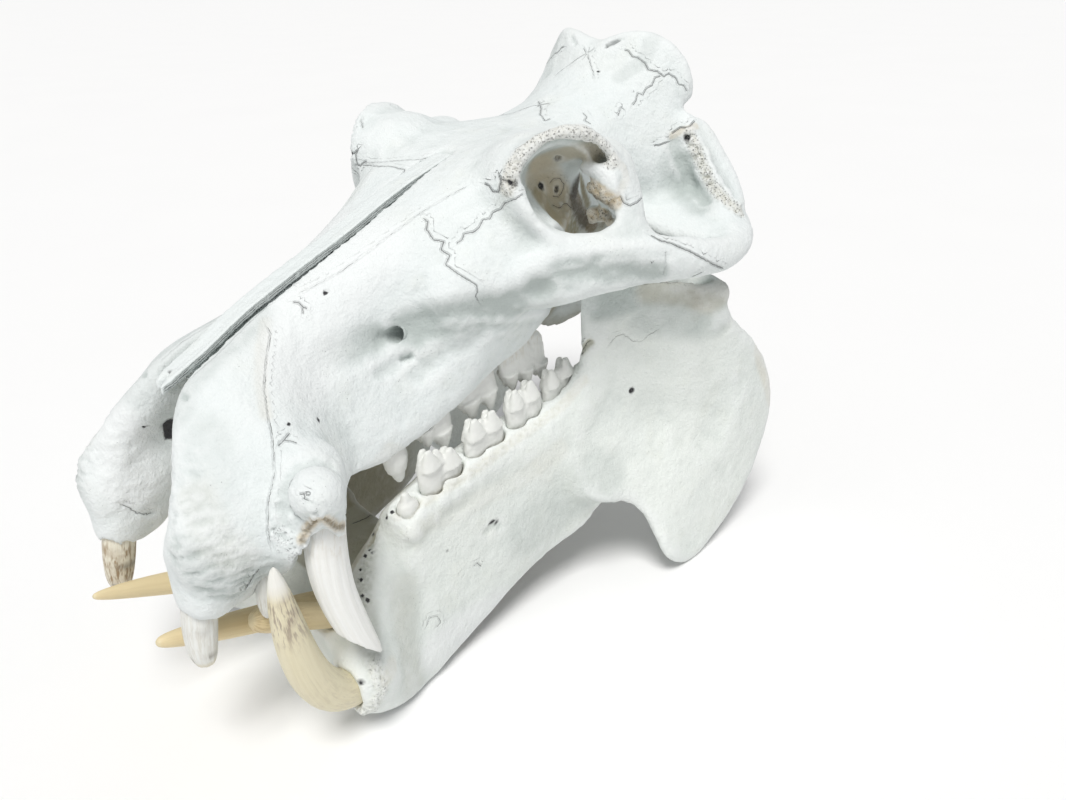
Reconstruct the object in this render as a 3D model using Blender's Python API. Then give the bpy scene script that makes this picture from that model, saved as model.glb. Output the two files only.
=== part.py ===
"""A hippopotamus skull with its lower jaw, bleached bone, for Blender 4.5.

The bones are laid out in the skull's own axes, in millimetres: +X is the animal's left, +Y runs from
the snout to the back of the head and +Z is up from the palate. One empty then tilts the whole skull
nose down until the chin and the two hooks of the jaw stand on z = 0.
"""
import math

import bmesh
import bpy
import numpy as np
from mathutils import Euler, Matrix, Vector

# Driving dimensions, in millimetres unless a name says otherwise
MM = 0.001
BONE_VOXEL = 3.2               # grid on which the overlapping bone masses are fused
TOOTH_VOXEL = 1.5
CRANIUM_TRIANGLES = 3300
MANDIBLE_TRIANGLES = 1660
CHEEK_TOOTH_TRIANGLES = 56
TOOTH_SIDES = 9
GAP = 0.4                      # clearance round each tooth in its socket
WORN_FLAT = 2.4                # how much of the chin and of each hook is worn flat where they rest
STEEPEST_TILT_DEG = 20         # the resting tilt is found by halving between level and this
HALVINGS = 40

# Canines and incisors of the left side: x, y, z down the middle line, then half width fore and aft
# and half width across
FRONT_TEETH = {
    "upper_canine": (
        (98, 108, 14, 11, 11), (101, 100, -2, 14, 12.5), (102, 93, -19, 16.5, 14.5), (105, 88, -48, 16, 14),
        (110, 89, -80, 14, 12), (114, 94, -105, 10, 9), (115, 97, -115, 6.5, 6.5),
    ),
    "lower_canine": (
        (87, 126, -152, 13, 12), (89, 106, -155, 14, 13.5), (91, 84, -150, 15.5, 14.5),
        (94, 67, -134, 15.5, 14.5), (97, 57, -104, 14, 13), (98, 55, -68, 12, 11.5), (98, 57, -32, 8, 8),
        (97, 60, -12, 2, 2),
    ),
    "upper_first_incisor": (
        (57, 42, -12, 10, 10), (56, 27, -30, 11.5, 11.5), (56, 21, -46, 11.5, 11.5),
        (58, 14.5, -66, 10, 10.5), (60.5, 12, -80, 6.5, 7),
    ),
    "upper_second_incisor": (
        (75, 68, -22, 7, 7), (75, 62, -38, 7.5, 7.5), (75, 57, -52, 7, 7), (75, 55, -65, 3.5, 4),
    ),
    "lower_first_incisor": (
        (33, 129, -133, 10, 10), (33, 105, -118, 10.5, 10.5), (34, 71, -101, 10, 10), (35, 31, -80, 8.5, 8.5),
        (35, 3, -65, 5.5, 5.5), (35, -4, -62, 2.5, 2.5),
    ),
    "lower_second_incisor": (
        (60, 122, -126, 9, 9), (61, 98, -107, 9.5, 9.5), (62, 72, -86, 10, 10), (63, 54, -73, 9.5, 9.5),
        (63, 47, -68, 6, 6),
    ),
}
# The right side's teeth that don't mirror the left ones: the canine and the second incisors stay short
RIGHT_FRONT_TEETH = {
    "lower_canine": (
        (87, 126, -152, 13, 12), (89, 106, -155, 14, 13.5), (91, 86, -151, 14.5, 13.5),
        (93, 72, -141, 13, 12.5), (94, 64, -130, 9, 9),
    ),
    "upper_second_incisor": (
        (67, 68, -16, 7, 7), (67, 64, -32, 7, 7), (67, 61, -43, 6, 6), (67, 60, -50, 3, 3),
    ),
    "lower_first_incisor": (
        (33, 120, -128, 10, 10), (33, 96, -112, 10.5, 10.5), (34, 62, -94, 10, 10), (35, 22, -72, 7.5, 7.5),
        (35, -6, -58, 4, 4), (35, -12, -55, 1.5, 1.5),
    ),
    "lower_second_incisor": (
        (60, 122, -126, 9, 9), (61, 98, -107, 9.5, 9.5), (62, 80, -93, 9.5, 9.5), (62, 71, -86, 6, 6),
    ),
}

# Cheek teeth of the left side: the cusps of each as y, tip z, half width fore and aft, then the z
# of its root end
UPPER_CHEEK_X = 60.0
UPPER_CHEEK_TEETH = {
    "second_premolar": (((186, -43, 10.5),), 8),
    "third_premolar": (((215, -28, 10), (230, -38, 12)), 9),
    "fourth_premolar": (((262, -29, 12), (281, -31, 11.5)), 9),
    "molar": (((307, -28, 10), (324, -33, 10), (341, -35, 10)), 10),
}
LOWER_CHEEK_X = 75.0
LOWER_CHEEK_TEETH = {
    "second_premolar": (((177, -43, 9),), -74),
    "third_premolar": (((202, -20, 11), (221, -29, 12)), -74),
    "fourth_premolar": (((249, -20, 11.5), (267, -22, 11.3)), -70),
    "first_molar": (((294, -18, 10), (312, -19, 11)), -68),
    "second_molar": (((337, -21, 9.5), (355, -19, 10)), -62),
}
CHEEK_TOOTH_HALF_WIDTH = 7.0

# The cranium's sections, front to back: y, then (x, z) from the top of the middle line round to its bottom
CRANIUM_SECTIONS = (
    (136, ((0, 100), (13, 98), (32, 86), (52, 50), (70, 6), (62, -8), (38, -4), (0, 0))),
    (152, ((0, 106), (17, 101), (36, 84), (54, 48), (69, 2), (66, -14), (38, -3), (0, 1))),
    (175, ((0, 111), (23, 105), (40, 87), (53, 52), (70, 4), (69, -18), (36, -2), (0, 3))),
    (210, ((0, 121), (27, 114), (42, 95), (51, 58), (69, 10), (70, -15), (36, 0), (0, 5))),
    (250, ((0, 131), (32, 126), (54, 110), (70, 78), (75, 28), (71, -7), (36, 0), (0, 6))),
    (290, ((0, 142), (43, 140), (68, 121), (91, 84), (87, 44), (67, 1), (38, 2), (0, 6))),
    (325, ((0, 149), (50, 151), (78, 144), (94, 100), (86, 56), (66, 4), (38, 4), (0, 8))),
    (360, ((0, 153), (56, 156), (90, 154), (96, 112), (76, 62), (60, 12), (36, 8), (0, 10))),
    (392, ((0, 154), (52, 152), (78, 142), (74, 108), (58, 60), (46, 12), (28, 8), (0, 12))),
    (425, ((0, 155), (34, 149), (54, 134), (58, 100), (52, 60), (40, 22), (22, 16), (0, 18))),
    (460, ((0, 161), (32, 154), (54, 138), (66, 106), (62, 66), (46, 30), (24, 24), (0, 26))),
    (492, ((0, 174), (36, 164), (58, 147), (76, 112), (80, 74), (60, 34), (28, 26), (0, 28))),
    (516, ((0, 189), (36, 182), (60, 164), (80, 124), (94, 84), (76, 36), (30, 26), (0, 28))),
    (534, ((0, 184), (40, 192), (62, 174), (76, 132), (92, 90), (74, 40), (30, 28), (0, 30))),
    (548, ((0, 120), (26, 130), (44, 124), (58, 100), (60, 72), (46, 42), (24, 30), (0, 34))),
)
# The left side of the snout, which stands clear of the right one in front of the nose opening
SNOUT_SECTIONS = (
    (15, ((62, 12), (70, 10), (74, 2), (70, -12), (58, -22), (47, -16), (45, -4), (51, 7))),
    (26, ((61, 28), (74, 26), (82, 8), (80, -18), (60, -42), (42, -30), (38, -8), (46, 16))),
    (42, ((46, 48), (62, 38), (84, 18), (87, -16), (66, -49), (44, -40), (36, -8), (36, 32))),
    (58, ((30, 70), (54, 57), (84, 30), (90, -6), (70, -46), (46, -40), (34, -8), (24, 54))),
    (74, ((21, 84), (44, 70), (84, 38), (102, -4), (86, -34), (50, -30), (34, -6), (15, 66))),
    (90, ((18, 90), (46, 80), (86, 44), (112, 8), (104, -18), (62, -16), (34, -2), (12, 72))),
    (108, ((15, 95), (42, 84), (78, 52), (111, 6), (100, -16), (62, -10), (34, 0), (11, 76))),
    (126, ((13, 99), (38, 86), (64, 54), (90, 6), (80, -10), (60, -8), (34, 0), (11, 80))),
    (144, ((12, 103), (36, 86), (54, 52), (74, 8), (64, -8), (50, -8), (34, 0), (11, 80))),
)
# The jaw's fused chin, in the same way
CHIN_SECTIONS = (
    (90, ((0, -116), (40, -114), (76, -124), (102, -144), (104, -172), (86, -184), (38, -150), (0, -142))),
    (104, ((0, -120), (38, -116), (72, -112), (102, -136), (108, -178), (86, -192), (38, -174), (0, -164))),
    (120, ((0, -122), (36, -114), (66, -94), (94, -118), (108, -176), (90, -197), (38, -190), (0, -178))),
    (140, ((0, -122), (34, -112), (56, -80), (82, -96), (102, -160), (94, -201), (42, -190), (0, -178))),
    (172, ((0, -117), (30, -109), (50, -68), (72, -72), (96, -150), (91, -200), (50, -172), (0, -158))),
    (199, ((0, -118), (28, -112), (48, -72), (68, -66), (91, -140), (88, -190), (54, -164), (0, -142))),
)
# The left side of the jaw behind the chin: y, then (x, z) from the tooth row out, down and back up inside
JAW_SECTIONS = (
    (160, ((60, -56), (80, -58), (90, -110), (98, -160), (92, -200), (76, -180), (60, -120), (51, -75))),
    (200, ((62, -48), (84, -53), (90, -105), (95, -160), (90, -197), (76, -180), (62, -120), (52, -65))),
    (250, ((62, -44), (87, -51), (93, -100), (97, -150), (91, -184), (78, -170), (66, -110), (54, -60))),
    (300, ((64, -45), (91, -53), (98, -95), (101, -142), (95, -175), (82, -160), (74, -105), (58, -60))),
    (340, ((68, -42), (95, -49), (104, -88), (112, -132), (110, -160), (96, -148), (86, -100), (62, -55))),
    (374, ((82, -26), (98, -36), (108, -72), (118, -104), (120, -118), (110, -112), (94, -84), (78, -48))),
    (408, ((95, -34), (99, -38), (108, -66), (118, -92), (120, -100), (114, -96), (102, -76), (94, -50))),
)
# Side outline of the left ramus with its hook, as (y, z), clockwise from the front of the ramus
RAMUS_OUTLINE = (
    (340, -48), (356, -24), (362, 4), (362, 36), (374, 74), (390, 90), (402, 74), (415, 46), (432, 34),
    (452, 26), (468, 19), (484, 17), (477, -3), (488, -22), (514, -50), (539, -86), (549, -128),
    (540, -166), (515, -200), (470, -229), (415, -240), (386, -230), (368, -206), (369, -180), (364, -160),
    (348, -145), (322, -136), (310, -108), (316, -72),
)
RAMUS_THICKNESS = 15.0
# Slices through the ramus from its inner to its outer face: share of the outline, then share of half
# the thickness
RAMUS_SLICES = ((0.02, -1), (0.5, -1.1), (0.93, -0.9), (1.0, 0), (0.93, 0.9), (0.5, 1.1), (0.02, 1))
RAMUS_MIDDLE = (425.0, -90.0)

# Colour and roughness of each material
LOOKS = {
    "bleached_bone": ((0.80, 0.82, 0.80), 0.75),
    "jaw_bone": ((0.77, 0.80, 0.75), 0.7),
    "white_enamel": ((0.82, 0.82, 0.78), 0.45),
    "cream_ivory": ((0.72, 0.60, 0.38), 0.4),
    "stained_ivory": ((0.62, 0.54, 0.40), 0.42),
}
LOOK_OF = {
    "cranium": "bleached_bone", "mandible": "jaw_bone", "upper_canine": "white_enamel",
    "upper_incisor": "white_enamel", "lower_canine": "stained_ivory", "lower_incisor": "cream_ivory",
}


def clear_scene():
    for thing in list(bpy.data.objects):
        bpy.data.objects.remove(thing, do_unlink=True)


def material(name, colour, roughness):
    made = bpy.data.materials.new(name)
    made.use_nodes = True
    shader = made.node_tree.nodes["Principled BSDF"]
    shader.inputs["Base Color"].default_value = (*colour, 1.0)
    shader.inputs["Roughness"].default_value = roughness
    shader.inputs["Metallic"].default_value = 0.0
    return made


def through(rows, count, closed=False):
    """Points on the smooth curve through the rows, each row a tuple of numbers."""
    rows = np.array(rows, float)
    last = len(rows) if closed else len(rows) - 1
    found = []
    for place in np.linspace(0.0, last, count, endpoint=not closed):
        i = min(int(place), last - 1)
        t = place - i
        if closed:
            a, b, c, d = (rows[(i + k) % len(rows)] for k in (-1, 0, 1, 2))
        else:
            b, c = rows[i], rows[i + 1]
            a = rows[i - 1] if i else 2 * b - c
            d = rows[i + 2] if i + 2 < len(rows) else 2 * c - b
        bend = (2 * a - 5 * b + 4 * c - d) * t**2 + (3 * b - a - 3 * c + d) * t**3
        found.append(0.5 * (2 * b + (c - a) * t + bend))
    return np.array(found)


class Mass:
    """Overlapping closed shapes gathered in one mesh, to be fused into a single bone."""

    def __init__(self):
        self.mesh = bmesh.new()

    def skin(self, rings):
        """Joins rings of equal length into a closed tube."""
        rows = [[self.mesh.verts.new(Vector(p) * MM) for p in ring] for ring in rings]
        count = len(rows[0])
        for one, two in zip(rows, rows[1:]):
            for i in range(count):
                j = (i + 1) % count
                self.mesh.faces.new((one[i], one[j], two[j], two[i]))
        for row, turn in ((rows[0], -1), (rows[-1], 1)):
            middle = self.mesh.verts.new(sum((v.co for v in row), Vector()) / count)
            for i in range(count):
                pair = (row[i], row[(i + 1) % count])[::turn]
                self.mesh.faces.new((*pair, middle))

    def lump(self, centre, radii, turn_deg=(0, 0, 0)):
        turn = Euler([math.radians(a) for a in turn_deg]).to_matrix().to_4x4()
        size = Matrix.Diagonal((*(r * MM for r in radii), 1))
        place = Matrix.Translation(Vector(centre) * MM) @ turn @ size
        bmesh.ops.create_icosphere(self.mesh, subdivisions=3, radius=1.0, matrix=place)

    def limb(self, rows, wide=(0, 0, 1), steps=5, sides=20, closed=False):
        """A rod along rows of (x, y, z, half width along wide, half width across)."""
        path = through(rows, len(rows) * steps if closed else (len(rows) - 1) * steps + 1, closed)
        count = len(path)
        turns = np.linspace(0, 2 * math.pi, sides, endpoint=False)
        rings = []
        for i, row in enumerate(path):
            after = path[(i + 1) % count] if closed else path[min(i + 1, count - 1)]
            before = path[i - 1] if closed else path[max(i - 1, 0)]
            ahead = after[:3] - before[:3]
            ahead /= np.linalg.norm(ahead)
            first = np.array(wide, float) - ahead * np.dot(wide, ahead)
            first /= np.linalg.norm(first)
            second = np.cross(ahead, first)
            around = [row[3] * math.cos(t) * first + row[4] * math.sin(t) * second for t in turns]
            rings.append([row[:3] + reach for reach in around])
        self.skin(rings + rings[:1] if closed else rings)

    def loop(self, rows, wide):
        """A rod that closes on itself."""
        self.limb(rows, wide, closed=True)

    def hull(self, sections, side=0, step=9.0, points=44):
        """A body through sections of (y, outline): mirrored about x = 0, or whole on one side."""
        outlines = []
        for y, outline in sections:
            if not side:
                outline = outline + tuple((-x, z) for x, z in outline[-2:0:-1])
            outlines.append([(y, *p) for p in through(outline, points, closed=True)])
        outlines = np.array(outlines)
        count = int((sections[-1][0] - sections[0][0]) / step)
        flat = through(outlines.reshape(len(sections), -1), count).reshape(count, points, 3)
        sign = side or 1
        rings = [[(sign * x, y, z) for y, x, z in ring] for ring in flat]
        self.skin(rings if sign > 0 else [ring[::-1] for ring in rings])

    def finish(self, name):
        bmesh.ops.recalc_face_normals(self.mesh, faces=self.mesh.faces)
        bmesh.ops.triangulate(self.mesh, faces=self.mesh.faces)
        data = bpy.data.meshes.new(name)
        self.mesh.to_mesh(data)
        self.mesh.free()
        made = bpy.data.objects.new(name, data)
        bpy.context.scene.collection.objects.link(made)
        return made


def sided(side, rows):
    """The same rows on the left side or mirrored to the right."""
    return [(side * row[0], *row[1:]) for row in rows]


def fuse(thing, voxel, smooth):
    """Makes one skin of overlapping shapes and softens the joins."""
    remesh = thing.modifiers.new("fuse", "REMESH")
    remesh.mode = "VOXEL"
    remesh.voxel_size = voxel * MM
    soften = thing.modifiers.new("soften", "SMOOTH")
    soften.factor = 0.5
    soften.iterations = smooth


def cut(thing, cutter, name):
    cutter.hide_render = True
    cutter.display_type = "WIRE"
    remove = thing.modifiers.new(name, "BOOLEAN")
    remove.operation = "DIFFERENCE"
    remove.solver = "EXACT"
    remove.object = cutter


def bake_modifiers(thing):
    """Replaces the mesh with what its modifiers make of it."""
    graph = bpy.context.evaluated_depsgraph_get()
    data = bpy.data.meshes.new_from_object(thing.evaluated_get(graph))
    thing.modifiers.clear()
    thing.data = data


def simplify(thing, triangles):
    bake_modifiers(thing)
    reduce = thing.modifiers.new("simplify", "DECIMATE")
    reduce.ratio = triangles / sum(len(face.vertices) - 2 for face in thing.data.polygons)
    reduce.use_collapse_triangulate = True
    bake_modifiers(thing)


def snout(mass, side):
    """The side of the snout, with the swellings over the canine's root and the incisors' sockets."""
    mass.hull(SNOUT_SECTIONS, side=side, step=5)
    mass.lump((side * 104, 98, 22), (20, 20, 20))
    mass.lump((side * 90, 104, 24), (22, 26, 25))
    mass.lump((side * 104, 92, -8), (19, 18, 18))
    mass.lump((side * 98, 79, -10), (12, 11, 16))
    mass.lump((side * 59, 28, -30), (21, 18, 19))


def orbit(mass, side):
    """The raised eye socket with its thick rim, and the bar that closes it behind."""
    mass.lump((side * 74, 350, 132), (36, 46, 38), (0, 0, side * -16))
    mass.loop(sided(side, [
        (84, 314, 144, 9, 8), (92, 327, 160, 9, 8), (101, 349, 167, 9, 8), (107, 376, 159, 9, 8),
        (114, 391, 138, 8, 8), (121, 392, 110, 8, 8), (121, 368, 92, 9, 9), (114, 340, 92, 9, 9),
        (99, 320, 116, 9, 8),
    ]), wide=(side, 0, 0))
    mass.limb(sided(side, [
        (72, 396, 138, 28, 11), (94, 400, 140, 27, 10), (110, 401, 130, 20, 9), (119, 400, 112, 14, 9),
        (125, 396, 98, 12, 9), (132, 388, 82, 14, 11),
    ]), wide=(0, 1, 0))
    mass.limb(sided(side, [(112, 396, 134, 8, 7), (108, 380, 133, 9, 6), (104, 368, 134, 6, 4)]))


def arch(mass, side):
    """The cheek arch from the face to its root beside the braincase, and the ridge round the fossa."""
    mass.lump((side * 66, 292, 72), (28, 58, 40))
    mass.limb(sided(side, [
        (80, 282, 74, 16, 8), (92, 300, 73, 22, 12), (106, 321, 73, 25, 15),
        (119, 345, 74, 24, 15), (134, 370, 71, 22, 13), (147, 400, 64, 20, 12), (158, 435, 54, 17, 12),
        (161, 466, 46, 15, 13), (154, 492, 47, 14, 16), (136, 512, 50, 14, 19), (112, 524, 54, 16, 20),
        (90, 526, 60, 16, 20),
    ]))
    mass.limb(sided(side, [
        (58, 494, 66, 42, 15), (92, 494, 60, 42, 13), (120, 490, 54, 36, 12), (146, 482, 48, 22, 10),
    ]), wide=(0, 1, 0))
    mass.limb(sided(side, [
        (80, 530, 132, 8, 10), (92, 530, 108, 9, 12), (106, 524, 84, 10, 14), (124, 512, 66, 11, 14),
        (142, 494, 56, 10, 13),
    ]), wide=(0.6, 0, 0.8))
    mass.limb(sided(side, [
        (86, 543, 124, 7, 8), (94, 545, 110, 9, 9), (108, 543, 88, 10, 9), (122, 540, 66, 11, 11),
        (128, 532, 56, 9, 11),
    ]))


def crest(mass, side):
    """The lobes of the crest at the top of the head, the neck joints and the spurs under them."""
    mass.limb(sided(side, [
        (8, 514, 180, 11, 9), (26, 526, 186, 12, 9), (42, 534, 188, 12, 9), (60, 544, 174, 12, 9),
        (70, 545, 156, 12, 10), (74, 543, 138, 10, 10),
    ]))
    mass.lump((side * 34, 554, 50), (19, 14, 20), (20, 0, 0))
    mass.limb(sided(side, [
        (84, 524, 50, 13, 11), (84, 524, 20, 11, 8), (80, 520, -4, 6, 5),
    ]), wide=(1, 0, 0))
    mass.lump((side * 44, 494, 16), (15, 20, 14))
    mass.limb(sided(side, [
        (34, 372, 20, 26, 7), (34, 396, 8, 30, 6), (36, 420, -4, 22, 5), (40, 434, 2, 12, 5),
    ]))


def nose_roof(mass):
    """The long narrow pair of nose bones, free at the tip over the nose opening."""
    mass.limb([
        (0, 66, 75, 3.5, 5), (0, 76, 79, 4, 8), (0, 95, 84.5, 4.5, 9), (0, 117, 92, 5, 9.5),
        (0, 137, 98, 6, 10), (0, 160, 104, 7, 12), (0, 190, 109, 8, 15),
    ])


def cranium_hollows():
    """Eye sockets, nose opening, the hole for the spinal cord and the nerve holes of the face."""
    hollow = Mass()
    for side in (1, -1):
        hollow.lump((side * 122, 346, 132), (66, 36, 32), (0, 0, side * -18))
        hollow.lump((side * 88, 380, 112), (24, 30, 26))
        hollow.limb(sided(side, [
            (47, 198, 62, 5, 5), (47, 213, 60, 6.5, 6), (45, 231, 57, 6, 6), (42, 254, 55, 5, 5),
        ]))
        hollow.limb(sided(side, [
            (56, 201, 39, 3, 3), (55, 212, 41, 4.5, 4), (51, 228, 46, 4.5, 4.5), (45, 244, 52, 4, 4),
        ]))
    hollow.limb([
        (0, 30, 20, 30, 38), (0, 70, 24, 34, 34), (0, 92, 34, 34, 26), (0, 120, 46, 32, 20),
        (0, 170, 56, 26, 18), (0, 210, 64, 16, 12),
    ])
    hollow.limb([(0, 585, 66, 18, 17), (0, 556, 68, 16, 16), (0, 528, 74, 14, 15), (0, 505, 80, 8, 8)])
    made = hollow.finish("cranium_hollows")
    fuse(made, 3.0, 2)
    return made


def both_sides(mass, *shapes):
    for shape in shapes:
        for side in (1, -1):
            shape(mass, side)


def cranium():
    mass = Mass()
    mass.hull(CRANIUM_SECTIONS)
    nose_roof(mass)
    both_sides(mass, snout, orbit, arch, crest)
    made = mass.finish("cranium")
    fuse(made, BONE_VOXEL, 6)
    cut(made, cranium_hollows(), "hollows")
    fuse(made, BONE_VOXEL, 3)
    simplify(made, CRANIUM_TRIANGLES)
    return made


def flare(y, z):
    """How far out the ramus stands at a height and a distance back."""
    def ease(t):
        t = min(max(t, 0.0), 1.0)
        return t * t * (3 - 2 * t)

    back = ease((y - 350) / 150)
    low = ease((-z - 60) / 165)
    hollow = 8 * math.exp(-((y - 440) / 50) ** 2 - ((z + 90) / 60) ** 2)
    return 92 + 66 * (1 - (1 - back) * (1 - low)) - hollow


def ramus(mass, side):
    """The upright plate of the jaw, bent outwards to the back and to its hook."""
    outline = through(RAMUS_OUTLINE, 72, closed=True)
    middle = np.array(RAMUS_MIDDLE)
    half = RAMUS_THICKNESS / 2
    rings = []
    for inset, shift in RAMUS_SLICES:
        ring = middle + (outline - middle) * inset
        rings.append([(side * (flare(y, z) + half * shift), y, z) for y, z in ring])
    mass.skin(rings)


def jaw_side(mass, side):
    mass.hull(JAW_SECTIONS, side=side)
    ramus(mass, side)
    mass.limb(sided(side, [
        (84, 478, 8, 10, 10), (110, 478, 8, 13, 12), (138, 477, 6, 12, 12), (158, 474, 5, 9, 10),
    ]))
    mass.limb(sided(side, [
        (152, 470, -6, 12, 14), (140, 466, -30, 12, 18), (136, 455, -60, 10, 20),
    ]), wide=(1, 0, 0))
    mass.lump((side * 92, 100, -150), (24, 24, 34))


def mandible():
    mass = Mass()
    mass.hull(CHIN_SECTIONS)
    both_sides(mass, jaw_side)
    made = mass.finish("mandible")
    fuse(made, BONE_VOXEL, 6)
    simplify(made, MANDIBLE_TRIANGLES)
    return made


def long_tooth(name, rows, side):
    """A canine or incisor, tapering along its bent middle line."""
    mass = Mass()
    rows = [(side * x, y, z, across, fore) for x, y, z, fore, across in rows]
    mass.limb(rows, wide=(1, 0, 0), steps=1, sides=TOOTH_SIDES)
    return mass.finish(name)


def cheek_tooth(name, cusps, root, x, side):
    """A cheek tooth with its cusps side by side on one root."""
    mass = Mass()
    for y, tip, half in cusps:
        rise = tip - root
        across = CHEEK_TOOTH_HALF_WIDTH
        mass.limb([
            (side * x, y, root, half * 0.8, across * 0.7),
            (side * x, y, root + rise * 0.45, half * 1.1, across),
            (side * x, y, root + rise * 0.75, half, across),
            (side * x, y, tip, half * 0.4, across * 0.5),
        ], wide=(0, 1, 0), steps=3, sides=16)
    made = mass.finish(name)
    fuse(made, TOOTH_VOXEL, 2)
    simplify(made, CHEEK_TOOTH_TRIANGLES)
    return made


def teeth():
    """Every tooth by jaw: lists of the upper and the lower ones."""
    upper, lower = [], []
    for side, name in ((1, "left"), (-1, "right")):
        front = FRONT_TEETH if side > 0 else {**FRONT_TEETH, **RIGHT_FRONT_TEETH}
        for tooth, rows in front.items():
            jaw, kind = tooth.split("_", 1)
            row_of_teeth = upper if jaw == "upper" else lower
            row_of_teeth.append(long_tooth(f"{jaw}_{name}_{kind}", rows, side))
        for tooth, (cusps, root) in UPPER_CHEEK_TEETH.items():
            upper.append(cheek_tooth(f"upper_{name}_{tooth}", cusps, root, UPPER_CHEEK_X, side))
        for tooth, (cusps, root) in LOWER_CHEEK_TEETH.items():
            lower.append(cheek_tooth(f"lower_{name}_{tooth}", cusps, root, LOWER_CHEEK_X, side))
    return upper, lower


def cut_sockets(bone, set_in_it):
    """Sinks a socket round every tooth, a little wider than the tooth."""
    for tooth in set_in_it:
        room = tooth.copy()
        room.data = tooth.data.copy()
        room.name = f"{tooth.name}_socket"
        bpy.context.scene.collection.objects.link(room)
        grow = room.modifiers.new("grow", "DISPLACE")
        grow.strength = GAP * MM
        grow.mid_level = 0.0
        cut(bone, room, tooth.name)
    bake_modifiers(bone)


def stand(things, jaw):
    """Tilts the skull nose down until chin and hooks stand on z = 0, and wears them flat there."""
    points = np.array([v.co for v in jaw.data.vertices]) / MM
    front = points[points[:, 1] < CHIN_SECTIONS[-1][0]]
    rear = points[points[:, 1] > RAMUS_OUTLINE[0][0]]
    low, high = 0.0, math.radians(STEEPEST_TILT_DEG)
    for _ in range(HALVINGS):
        tilt = (low + high) / 2
        down = (math.sin(tilt), math.cos(tilt))
        lowest = [(end[:, 1:] @ down).min() for end in (front, rear)]
        low, high = (tilt, high) if lowest[0] > lowest[1] else (low, tilt)
    turned = Matrix.Rotation(tilt, 4, "X")
    corners = [turned @ v.co for thing in things for v in thing.data.vertices]
    middle = (max(p.y for p in corners) + min(p.y for p in corners)) / 2
    rest = bpy.data.objects.new("skull_rest", None)
    bpy.context.scene.collection.objects.link(rest)
    rest.matrix_world = Matrix.Translation((0, -middle, -(lowest[0] + WORN_FLAT) * MM)) @ turned
    for thing in things:
        thing.parent = rest
    ground = Mass()
    bmesh.ops.create_cube(ground.mesh, size=1.0, matrix=Matrix.Translation((0, 0, -0.5)))
    cut(jaw, ground.finish("ground"), "worn flat")


def look_of(name):
    """The material's name for a bone or a tooth."""
    for jaw in ("upper", "lower"):
        for tooth in ("canine", "incisor"):
            if name.startswith(jaw) and name.endswith(tooth):
                return LOOK_OF[f"{jaw}_{tooth}"]
    return LOOK_OF.get(name, "white_enamel")


def main():
    clear_scene()
    skull, jaw = cranium(), mandible()
    upper, lower = teeth()
    cut_sockets(skull, upper)
    cut_sockets(jaw, lower)
    looks = {name: material(name, *look) for name, look in LOOKS.items()}
    everything = (skull, jaw, *upper, *lower)
    for thing in everything:
        thing.data.materials.clear()
        thing.data.materials.append(looks[look_of(thing.name)])
    stand(everything, jaw)


main()
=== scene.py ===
"""Looks of the bleached hippopotamus skull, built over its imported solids.

Places on the bones are given either in the skull's own axes (millimetres, x to the animal's left, y back,
z up from the palate) or as points of the 1066 x 800 view, which are cast from the camera onto the bone.
"""

import math
from contextlib import contextmanager

import bmesh
import bpy
import numpy as np
from bpy.props import FloatProperty, FloatVectorProperty, IntProperty, PointerProperty
from mathutils import Matrix, Vector, noise
from mathutils.bvhtree import BVHTree


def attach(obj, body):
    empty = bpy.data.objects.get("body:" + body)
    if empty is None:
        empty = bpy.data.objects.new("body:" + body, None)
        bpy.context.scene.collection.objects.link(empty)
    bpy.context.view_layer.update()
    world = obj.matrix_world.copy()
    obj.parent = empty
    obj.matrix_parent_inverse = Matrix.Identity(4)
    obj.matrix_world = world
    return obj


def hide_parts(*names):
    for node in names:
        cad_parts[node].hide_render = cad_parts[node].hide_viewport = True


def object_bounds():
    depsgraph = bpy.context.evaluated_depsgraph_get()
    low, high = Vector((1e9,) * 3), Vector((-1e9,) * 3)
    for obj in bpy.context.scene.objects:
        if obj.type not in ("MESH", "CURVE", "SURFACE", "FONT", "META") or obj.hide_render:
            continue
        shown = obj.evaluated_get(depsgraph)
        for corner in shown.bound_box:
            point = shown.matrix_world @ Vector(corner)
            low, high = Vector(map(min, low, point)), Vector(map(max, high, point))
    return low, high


bl_info = {
    "name": "Hippopotamus skull",
    "version": (1, 0, 0),
    "blender": (4, 5, 0),
    "location": "3D View > Sidebar > Skull",
    "description": "Bones, teeth and stage of a bleached hippopotamus skull",
    "category": "Object",
}

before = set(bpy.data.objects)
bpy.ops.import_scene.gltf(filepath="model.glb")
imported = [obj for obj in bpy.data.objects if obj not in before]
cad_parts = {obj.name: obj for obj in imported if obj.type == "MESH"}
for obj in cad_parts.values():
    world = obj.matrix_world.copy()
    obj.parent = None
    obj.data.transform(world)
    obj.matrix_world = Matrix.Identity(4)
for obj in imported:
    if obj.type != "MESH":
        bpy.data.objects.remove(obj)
SOLIDS_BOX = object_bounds()
MM = 0.001

# How the skull's own axes lie in the frame: tilted nose down, then moved to stand on its chin
REST = Matrix.Translation((0, -0.277034, 0.179234)) @ Matrix.Rotation(math.radians(7.54334), 4, "X")
REST_BACK = REST.inverted()

# The camera in the skull's own axes
VIEW_AZIMUTH, VIEW_ELEVATION, VIEW_ROLL = 46.4139, 31.6953, -7.9832
VIEW_FROM = (516.358, -104.115, 336.979)
VIEW_FOCUS, VIEW_CENTRE, VIEW_WIDTH = 888.2022, (532.91, 400.095), 1066


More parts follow.
